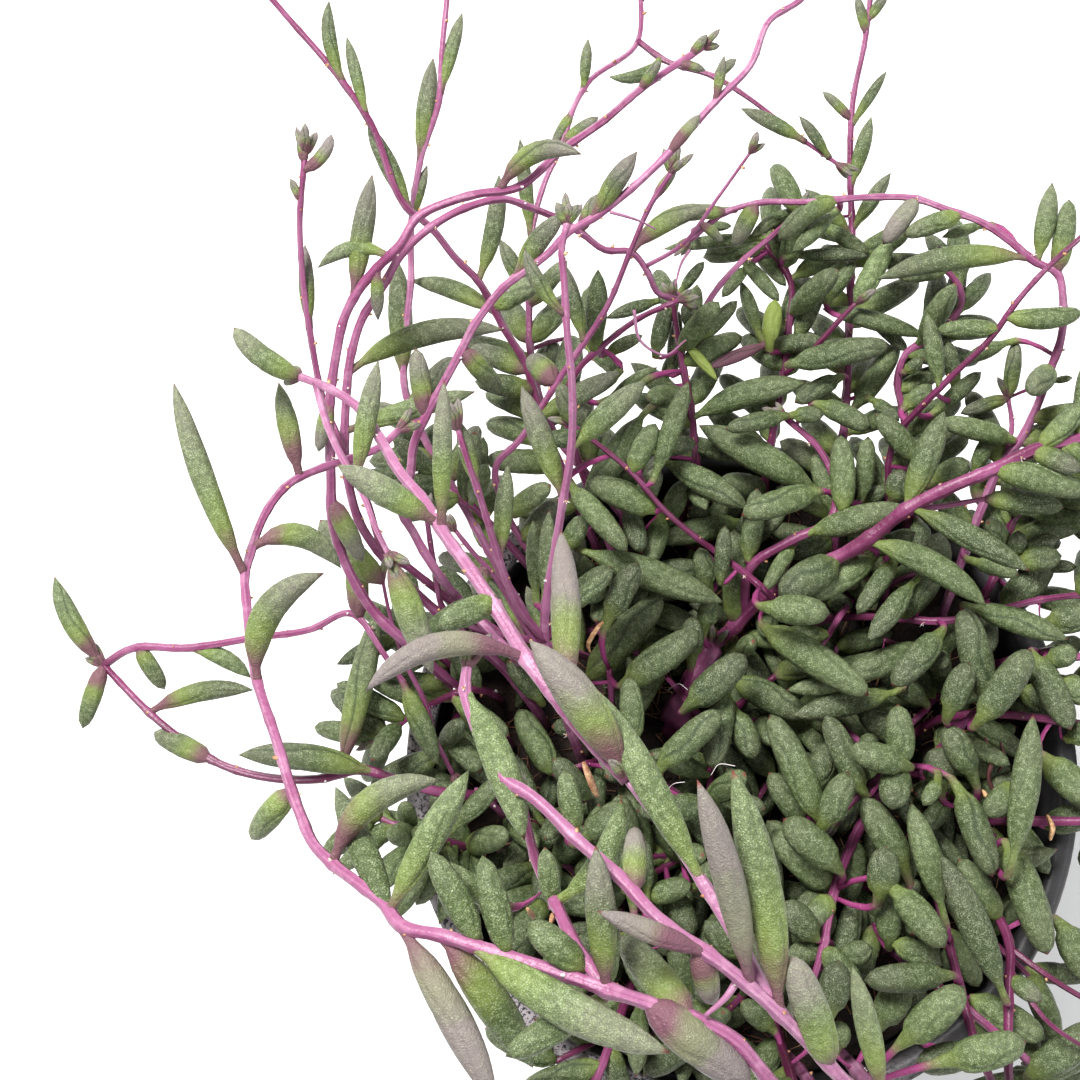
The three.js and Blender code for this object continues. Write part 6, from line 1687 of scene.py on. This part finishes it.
# Looks of the leaves of each stem: (least and most flushed share of a leaf, the grey-mauve bloom
# of its outer half, how pale the leaves and the stem are)
LOOKS = {
    "front_arch": (0.18, 0.42, 0.6, 0.75, 0.48), "front_spray": (0.1, 0.34, 0.65, 0.9, 0.66),
    "left_spray": (0.1, 0.36, 0.25, 0.6, 0.35), "arch_outer": (0.1, 0.35, 0.6, 0.45, 0.4),
    "arch_inner": (0.1, 0.3, 0.4, 0.45, 0.4), "arch_tip": (0.1, 0.45, 0.8, 0.4, 0.4),
    "arch_short": (0.05, 0.2, 0.3, 0.45, 0.35), "high_arch": (0.12, 0.4, 0.6, 0.4, 0.4),
    "centre_upright": (0.05, 0.3, 0.5, 0.5, 0.4), "inner_branch": (0.05, 0.3, 0.4, 0.4, 0.35),
    "back_trail": (0.02, 0.2, 0.25, 0.4, 0.35), "back_upright": (0.02, 0.3, 0.4, 0.4, 0.4),
    "back_fork": (0.02, 0.2, 0.3, 0.4, 0.35), "right_loop": (0.02, 0.2, 0.3, 0.45, 0.35),
    "far_upright": (0.02, 0.2, 0.3, 0.35, 0.35), "main_stem": (-0.1, 0.12, 0.1, 0.4, 0.3),
}
PLAIN_LOOKS = (-0.2, 0.06, 0.1, 0.26, 0.2)
# The same for single leaves, by the place of their tip in the picture: (paleness, flush, bloom).
# A bloom below nothing turns a leaf yellow-green
LEAF_LOOKS = {
    (468, 772): (0.95, 0.12, 0.1), (336, 788): (0.4, -0.3, 0.1), (733, 772): (0.8, 0.26, 0.1),
    (698, 782): (0.8, 0.2, 3), (496, 1104): (0.5, 0.2, 3), (532, 1066): (0.35, 0.28, 0),
    (668, 1052): (1.3, 0.08, 0.5), (621, 801): (0.7, -0.02, 0), (600, 912): (0.4, 0.5, 3),
    (748, 1082): (0.15, 0.3, 2), (367, 690): (0.5, 0.32, 2.5), (531, 642): (0.9, 0.3, 1.4),
    (524, 838): (0.95, -0.3, 0.1), (884, 243): (1.2, -0.2, 2.5), (889, 243): (1.1, -0.3, 0),
    (775, 301): (0.8, -0.3, -1), (709, 368): (0.3, 1.2, 2), (717, 380): (0.8, -0.3, -1),
    (596, 690): (0.8, -0.02, 0.1), (561, 532): (0.5, 0.3, 1.5),
}
LOOK_SEED = 7000
# How the looks of single leaves and stems vary, and what small leaves and read ones get
SMALL_LEAF = 8.5
SMALL_FLUSH = 0.15
SMALL_BLOOM = 0.3
FLUSH_POWER = 1.6
FLUSH_KEPT = 0.6
BLOOMS = (0.3, 1.0)
LEAF_TONES = 0.6
STEM_TONES = 0.3
READ_TONE_MOST = 0.6

# Where scars and wool stand along a stem, and their sizes
SCAR_SPACING = 6.0
SCARS_FROM = (4, 4)
SCARS_TO = 2
SCAR_GAPS = (0.7, 0.7)
SCAR_SIZES = (0.4, 0.35)
SCAR_SINK = 0.8
WOOL_SHARE = (0.1, 0.2)
WOOL_SIZES = (0.4, 0.4)


def dress_stem(shape, stem_, draw):
    """The scars and wool along a stem, at random steps along it"""
    points = stem_["points"]
    along, side, over = carried_frames(points)
    total = stem_["along"][-1]
    turn = any_turn(draw)
    following = varied(SCARS_FROM, draw)
    share = stem_["along"] / total
    radii = taper(stem_, share)
    for i, arc in enumerate(stem_["along"]):
        if arc < following or arc > total - SCARS_TO:
            continue
        following = arc + SCAR_SPACING * varied(SCAR_GAPS, draw)
        turn += GOLDEN_ANGLE
        out = round_line(side[i], over[i], turn)
        at = points[i] + out * radii[i] * SCAR_SINK
        stem_["scars"].append(i)
        add_scar(shape, at, out, along[i], varied(SCAR_SIZES, draw), draw())
        if draw() < WOOL_SHARE[0] + WOOL_SHARE[1] * share[i]:
            add_wool(shape, at, out, varied(WOOL_SIZES, draw), draw)


# Small things between the leaves: the node they belong to, places read in the picture with their
# height, thickness, and how dark they are. Dried leaves and bracts are tan, threads white and
# tendrils pink
DRIED = [("front_spray", [[603, 622, 20], [596, 630, 22], [589, 642, 21], [590, 652, 18]],
          0.9, 0.2),
         ("right_trail", [[985, 738, 5], [992, 758, 8], [988, 778, 6], [1000, 800, 4]], 1.1, 0.9),
         ("right_trail", [[1000, 742, 6], [1004, 760, 7], [998, 772, 5]], 0.8, 0.9),
         ("right_trail", [[902, 775, 5], [907, 781, 7], [912, 791, 6]], 1.2, 0.1),
         ("right_trail", [[982, 790, 7], [988, 799, 8]], 1.3, 0.1),
         ("right_trail", [[1047, 815, 10], [1052, 828, 11], [1050, 840, 10]], 1.2, 0.1),
         ("front_arch", [[553, 914, 99], [550, 924, 101]], 0.8, 0.3),
         ("front_arch", [[534, 918, 99], [527, 908, 101]], 0.8, 0.3),
         ("front_spray", [[597, 797, 98], [589, 779, 99], [583, 762, 99]], 1.1, 0.4)]
THREADS = [("front_spray", [[711, 775, 92], [720, 764, 94], [735, 766, 95]]),
           ("front_spray", [[667, 790, 92], [676, 783, 94], [685, 782, 94]]),
           ("main_stem", [[640, 700, 6], [630, 690, 9], [622, 692, 10]]),
           ("main_stem", [[668, 690, 6], [680, 684, 9], [688, 690, 10]])]
TENDRILS = [("high_arch", [[610, 212, 59], [628, 217, 58], [642, 222, 56], [655, 229, 54]], 0.3),
            ("arch_inner", [[690, 250, 34], [683, 260, 33], [675, 286, 31]], 0.3),
            ("arch_inner", [[634, 310, 26], [640, 340, 25], [664, 355, 23], [686, 340, 21]], 0.32),
            ("front_spray", [[742, 972, 106], [727, 996, 106], [705, 1016, 105]], 0.5)]
LINE_STEP = 0.4
DRIED_ROUND = np.array([[1, 0.55, 1, 0.45, 1, 0.6]])
THREAD_RADIUS = 0.04
TENDRIL_STEP = 0.5

# Hairs on the lowest part of the thick stem
HAIR_SEED = 7900
HAIRY_LENGTH = 24.0
HAIR_TUFTS = 3
HAIRS = 2
HAIR_LENGTH = 1.2
HAIR_WIDTH = 0.5
HAIR_TINT = 0.9
HAIR_SINK = 0.9


def add_trunk_hairs(shape, stem_, draw):
    points = stem_["points"]
    _, side, over = carried_frames(points)
    radii = taper(stem_, stem_["along"] / stem_["along"][-1])
    for i in np.flatnonzero(stem_["along"] <= HAIRY_LENGTH):
        for _ in range(HAIR_TUFTS):
            out = round_line(side[i], over[i], any_turn(draw))
            add_wool(shape, points[i] + out * radii[i] * HAIR_SINK, out, HAIR_LENGTH, draw, HAIRS,
                     SCAR_SLOT, HAIR_WIDTH, HAIR_TINT * draw())


def lines_of(table, node, step):
    """The lines in a table that belong to a node, each with the rest of its row"""
    for name, places, *rest in table:
        if name == node:
            yield smooth([seen(place) for place in places], step), *rest


def add_details(shape, node):
    for line, width, tint in lines_of(DRIED, node, LINE_STEP):
        share = np.linspace(0, 1, len(line))
        radii = width / 2 * (0.35 + 0.65 * np.sin(math.pi * (0.12 + 0.8 * share)))
        shape.add_tube(line, radii[:, None] * DRIED_ROUND, DRIED_ROUND.size, SCAR_SLOT, crease=tint)
    for line, in lines_of(THREADS, node, LINE_STEP):
        shape.add_tube(line, np.full(len(line), THREAD_RADIUS), 4, WOOL_SLOT)
    for line, radius in lines_of(TENDRILS, node, TENDRIL_STEP):
        radii = np.linspace(radius, 0.5 * radius, len(line))
        shape.add_tube(line, radii, 6, STEM_SLOT, tone=0.75, along=0.5)


BUD_LEAVES = 3
BUD_SPREADS = (0.3, 0.3)
BUD_LENGTHS = (2.6, 2.2)
BUD_WIDTHS = (1.1, 0.5)
BUD_ARCH = 0.04


def add_bud(shape, stem_, draw):
    """Three tiny leaves at a stem's tip"""
    points = stem_["points"]
    ahead = unit(points[-1] - points[-3])
    side = side_of(ahead, 0.1)
    over = np.cross(side, ahead)
    first = any_turn(draw)
    for k in range(BUD_LEAVES):
        angle = first + k * 2 * math.pi / BUD_LEAVES
        way = unit(ahead + round_line(side, over, angle) * varied(BUD_SPREADS, draw))
        tip = points[-1] + way * varied(BUD_LENGTHS, draw)
        bud = new_leaf(stem_, points[-1], tip, varied(BUD_WIDTHS, draw), 0, BUD_ARCH)
        add_leaf(shape, bud, 0.6, 0.5, 1.0, 0)


def leaf_looks(leaf, looks, draw):
    """A leaf's paleness, flush, bloom and roll"""
    low, high, bloom, pale, _ = looks
    flush = low + (high - low) * draw() ** FLUSH_POWER
    cast = bloom * varied(BLOOMS, draw)
    if leaf["length"] < SMALL_LEAF:
        flush += SMALL_FLUSH
        cast += SMALL_BLOOM
    roll = (draw() - 0.5) * 2 * ROLL_MOST
    tone = pale + LEAF_TONES * (draw() - 0.5)
    if "foot" in leaf:
        flush = PLAIN_LOOKS[0] + (flush - low) * FLUSH_KEPT
        cast = PLAIN_LOOKS[2]
        tone = min(tone, READ_TONE_MOST)
    tip = tuple(np.rint(pictured(leaf["tip"])[0]).astype(int).tolist())
    return *LEAF_LOOKS.get(tip, (tone, flush, cast)), roll


def make_leafy_piece(node, materials):
    shape = Shape()
    draw = stream(LOOK_SEED + node_number(node))
    looks = LOOKS.get(node, PLAIN_LOOKS)
    for stem_ in stems:
        if stem_["node"] != node:
            continue
        stem_["scars"] = []
        dress_stem(shape, stem_, draw)
        add_stem_skin(shape, stem_, looks[-1] + STEM_TONES * (draw() - 0.5))
        if not stem_["spec"].get("crown"):
            add_bud(shape, stem_, draw)
        if node == "main_stem" and stem_["rooted"]:
            add_trunk_hairs(shape, stem_, stream(HAIR_SEED))
    for leaf in leaves:
        if leaf["node"] == node:
            add_leaf(shape, leaf, *leaf_looks(leaf, looks, draw), node.startswith("front_"))
    add_details(shape, node)
    piece = shape.piece(f"{node}_leafy", materials)
    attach(piece, "root")
    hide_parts(node)


def lathe_shape(shape, profile, sides, slot):
    """A closed turned form: the first and last points of its profile lie on the axis"""
    angle = even_angles(sides)
    inner = np.array(profile[1:-1], float)
    rings = np.stack([inner[:, None, 0] * np.cos(angle), inner[:, None, 0] * np.sin(angle),
                      np.repeat(inner[:, 1:], sides, axis=1)], axis=-1)
    first = [0.0, 0.0, profile[0][1]]
    last = [0.0, 0.0, profile[-1][1]]
    shape.add_skin(rings[:, ::-1], first, last, slot)


CORNER_SHARE = 0.45


def rounded(profile, radius, steps=5):
    """A profile whose corners are rounded, at most by a share of the lines that meet there"""
    out = [profile[0]]
    for before, at, after in zip(profile, profile[1:], profile[2:]):
        at = np.array(at, float)
        back = np.array(before, float) - at
        ahead = np.array(after, float) - at
        cut = min(radius, np.linalg.norm(back) * CORNER_SHARE,
                  np.linalg.norm(ahead) * CORNER_SHARE)
        start = at + unit(back) * cut
        stop = at + unit(ahead) * cut
        for k in range(steps + 1):
            t = k / steps
            out.append(tuple(start * (1 - t) ** 2 + at * 2 * t * (1 - t) + stop * t * t))
    out.append(profile[-1])
    return out


POT_SIDES = 160
POT_ROUNDING = 0.9
DRAIN_SIDES = 24


def drain_cutter():
    cutters = Shape()
    for i in range(DRAIN_COUNT):
        turn = 2 * math.pi * i / DRAIN_COUNT
        centre = [DRAIN_CIRCLE * math.cos(turn), DRAIN_CIRCLE * math.sin(turn)]
        line = np.array([[*centre, -2 * FLOOR], [*centre, 2 * FLOOR]])
        cutters.add_tube(line, np.full(2, DRAIN_RADIUS), DRAIN_SIDES, 0)
    return cutters.piece("drain_cutter", [])


def make_pot():
    profile = [
        (0, 0), (BASE_RADIUS - EDGE, 0), (BASE_RADIUS, EDGE),
        (INNER_RADIUS - WALL_LEAN + WALL, WALL_TOP), (RIM_RADIUS - EDGE, WALL_TOP),
        (RIM_RADIUS, POT_HEIGHT - EDGE), (RIM_RADIUS - EDGE, POT_HEIGHT),
        (INNER_RADIUS + EDGE, POT_HEIGHT), (INNER_RADIUS, POT_HEIGHT - EDGE),
        (INNER_RADIUS - WALL_LEAN, WALL_TOP), (BASE_RADIUS - WALL, FLOOR), (0, FLOOR)]
    shape = Shape()
    lathe_shape(shape, rounded(profile, POT_ROUNDING), POT_SIDES, 0)
    piece = shape.piece("pot_shell", [pot_material()])
    cutter = drain_cutter()
    hole = piece.modifiers.new("drain", "BOOLEAN")
    hole.operation = "DIFFERENCE"
    hole.solver = "EXACT"
    hole.object = cutter
    bpy.context.view_layer.update()
    cut = piece.evaluated_get(bpy.context.evaluated_depsgraph_get())
    solid = bpy.data.meshes.new_from_object(cut)
    piece.modifiers.clear()
    piece.data = solid
    bpy.data.objects.remove(cutter)
    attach(piece, "root")
    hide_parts("pot")


# Soil: its radius at the top, and its waves as (scale, height, level of the noise)
SOIL_RADIUS = INNER_RADIUS - WALL_LEAN - SIDE_GAP - 0.3
SOIL_EDGE_DROP = 0.4
SOIL_RINGS = 44
SOIL_SIDES = 150
SOIL_SEED = 8000
WAVES = [(0.11, 0.9, 3.0), (0.33, 0.7, 9.0), (0.9, 0.45, 5.0)]

# Clods: their places, size and form along a short line
CLODS = 260
CLOD_MARGIN = 4
CLOD_SIZES = (0.7, 1.6)
CLOD_LINE = np.array([-0.6, -0.2, 0.25, 0.6])
CLOD_RADII = np.array([0.45, 0.8, 0.75, 0.4])
CLOD_SIDES = 6
CLOD_LUMPS = (0.7, 0.6)
CLOD_END = 0.3

# Coir fibres: curved lines of a few steps that rise out of the soil and return
FIBRES = 420
FIBRE_MARGIN = 3
FIBRE_BEND = 2.4
FIBRE_LENGTHS = (4, 9)
FIBRE_LIFTS = (0.2, 1.6)
FIBRE_LEVEL = 0.05
FIBRE_STEPS = 6
FIBRE_CLEARANCE = 0.5
FIBRE_RADII = (0.07, 0.09)
FIBRE_SIDES = 4


def soil_height(x, y):
    total = 0
    for scale, height, level in WAVES:
        total = total + height * noise.noise((x * scale, y * scale, level))
    return total


def place_on_soil(margin, draw):
    spread = (SOIL_RADIUS - margin) * math.sqrt(draw())
    turn = any_turn(draw)
    return spread * math.cos(turn), spread * math.sin(turn)


def add_clod(shape, draw):
    x, y = place_on_soil(CLOD_MARGIN, draw)
    size = CLOD_SIZES[0] + CLOD_SIZES[1] * draw() ** 2
    way = unit(np.array([draw() - 0.5, draw() - 0.5, 0.5 * draw()]))
    line = np.array([x, y, SOIL_Z + soil_height(x, y)]) + way * (CLOD_LINE * size)[:, None]
    lumps = CLOD_LUMPS[0] + CLOD_LUMPS[1] * np.array([draw() for _ in range(CLOD_SIDES)])
    rings = tube(line, (CLOD_RADII * size)[:, None] * lumps, CLOD_SIDES)
    shape.add_skin(rings, line[0] - way * size * CLOD_END, line[-1] + way * size * CLOD_END, 0)


def add_fibre(shape, draw):
    x, y = place_on_soil(FIBRE_MARGIN, draw)
    heading = any_turn(draw)
    bend = (draw() - 0.5) * FIBRE_BEND
    length = varied(FIBRE_LENGTHS, draw)
    lift = varied(FIBRE_LIFTS, draw)
    line = []
    for k in range(FIBRE_STEPS + 1):
        s = k / FIBRE_STEPS
        line.append([x, y, SOIL_Z + soil_height(x, y) + FIBRE_LEVEL + lift * 4 * s * (1 - s)])
        x += length / FIBRE_STEPS * math.cos(heading)
        y += length / FIBRE_STEPS * math.sin(heading)
        heading += bend / FIBRE_STEPS
    line = np.array(line)
    if np.hypot(line[:, 0], line[:, 1]).max() <= SOIL_RADIUS - FIBRE_CLEARANCE:
        shape.add_tube(line, np.full(len(line), varied(FIBRE_RADII, draw)), FIBRE_SIDES, 1)


def make_soil():
    shape = Shape()
    profile = [(0, FLOOR + SEAT_GAP), (BASE_RADIUS - WALL - SIDE_GAP, FLOOR + SEAT_GAP),
               (SOIL_RADIUS, WALL_TOP - SOIL_EDGE_DROP)]
    profile += [(SOIL_RADIUS * (1 - k / SOIL_RINGS) + 0.001, SOIL_Z) for k in range(SOIL_RINGS)]
    profile += [(0, SOIL_Z)]
    lathe_shape(shape, profile, SOIL_SIDES, 0)
    points = shape.points[0]
    for i, (x, y, z) in enumerate(points):
        if z > WALL_TOP:
            fall = np.clip((SOIL_RADIUS - math.hypot(x, y)) / SOIL_SHOULDER, 0, 1)
            points[i, 2] = WALL_TOP + (z - WALL_TOP) * (0.5 + 0.5 * fall) + soil_height(x, y) * fall
    draw = stream(SOIL_SEED)
    for _ in range(CLODS):
        add_clod(shape, draw)
    for _ in range(FIBRES):
        add_fibre(shape, draw)
    piece = shape.piece("soil_bed", [soil_material(), fibre_material()])
    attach(piece, "root")
    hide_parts("soil")


# The camera, lights and floor. A light is (name, place, aim, size, power, colour)
LIGHTS = [("key", (-0.5, 0.6, 1.3), (0, 0.02, 0.1), 0.5, 43, (1.0, 0.99, 0.96)),
          ("fill", (0.9, -0.5, 0.9), (0, 0.0, 0.1), 1.0, 9, (0.97, 0.98, 1.0))]
WORLD_STRENGTH = 0.44
FLOOR_SIDE = 8


def add_camera():
    camera = bpy.data.cameras.new("camera")
    camera.sensor_fit = "HORIZONTAL"
    camera.sensor_width = SENSOR
    camera.lens = VIEW_FOCAL * SENSOR
    camera.clip_start = 0.01
    camera.clip_end = 20
    obj = bpy.data.objects.new("camera", camera)
    obj.location = eye * MM
    obj.rotation_euler = (math.pi / 2 - VIEW_ELEVATION, 0, 0)
    bpy.context.scene.collection.objects.link(obj)
    bpy.context.scene.camera = obj


def add_light(name, place, aim, size, power, colour):
    light = bpy.data.lights.new(name, "AREA")
    light.shape = "DISK"
    light.size = size
    light.energy = power
    light.color = colour
    obj = bpy.data.objects.new(name, light)
    obj.location = place
    way = np.array(aim, float) - np.array(place, float)
    obj.rotation_euler = Vector(way).to_track_quat("-Z", "Y").to_euler()
    bpy.context.scene.collection.objects.link(obj)


def add_studio():
    world = bpy.data.worlds.new("studio")
    world.use_nodes = True
    background = world.node_tree.nodes["Background"]
    background.inputs["Color"].default_value = (1.0, 1.0, 1.0, 1.0)
    background.inputs["Strength"].default_value = WORLD_STRENGTH
    bpy.context.scene.world = world
    for light in LIGHTS:
        add_light(*light)
    bpy.ops.mesh.primitive_plane_add(size=FLOOR_SIDE, location=(0, 0, 0))
    floor = bpy.context.object
    floor.name = "floor"
    floor.data.materials.append(floor_material())
    bpy.context.scene.view_settings.view_transform = "Standard"


lay_stems()
lay_trails()
lay_crown()
lay_leaves()
lay_extras()

foliage = [stem_material(), leaf_material(), scar_material(), wool_material()]
for node in dict.fromkeys(stem_["node"] for stem_ in stems):
    make_leafy_piece(node, foliage)
make_pot()
make_soil()
add_camera()
add_studio()
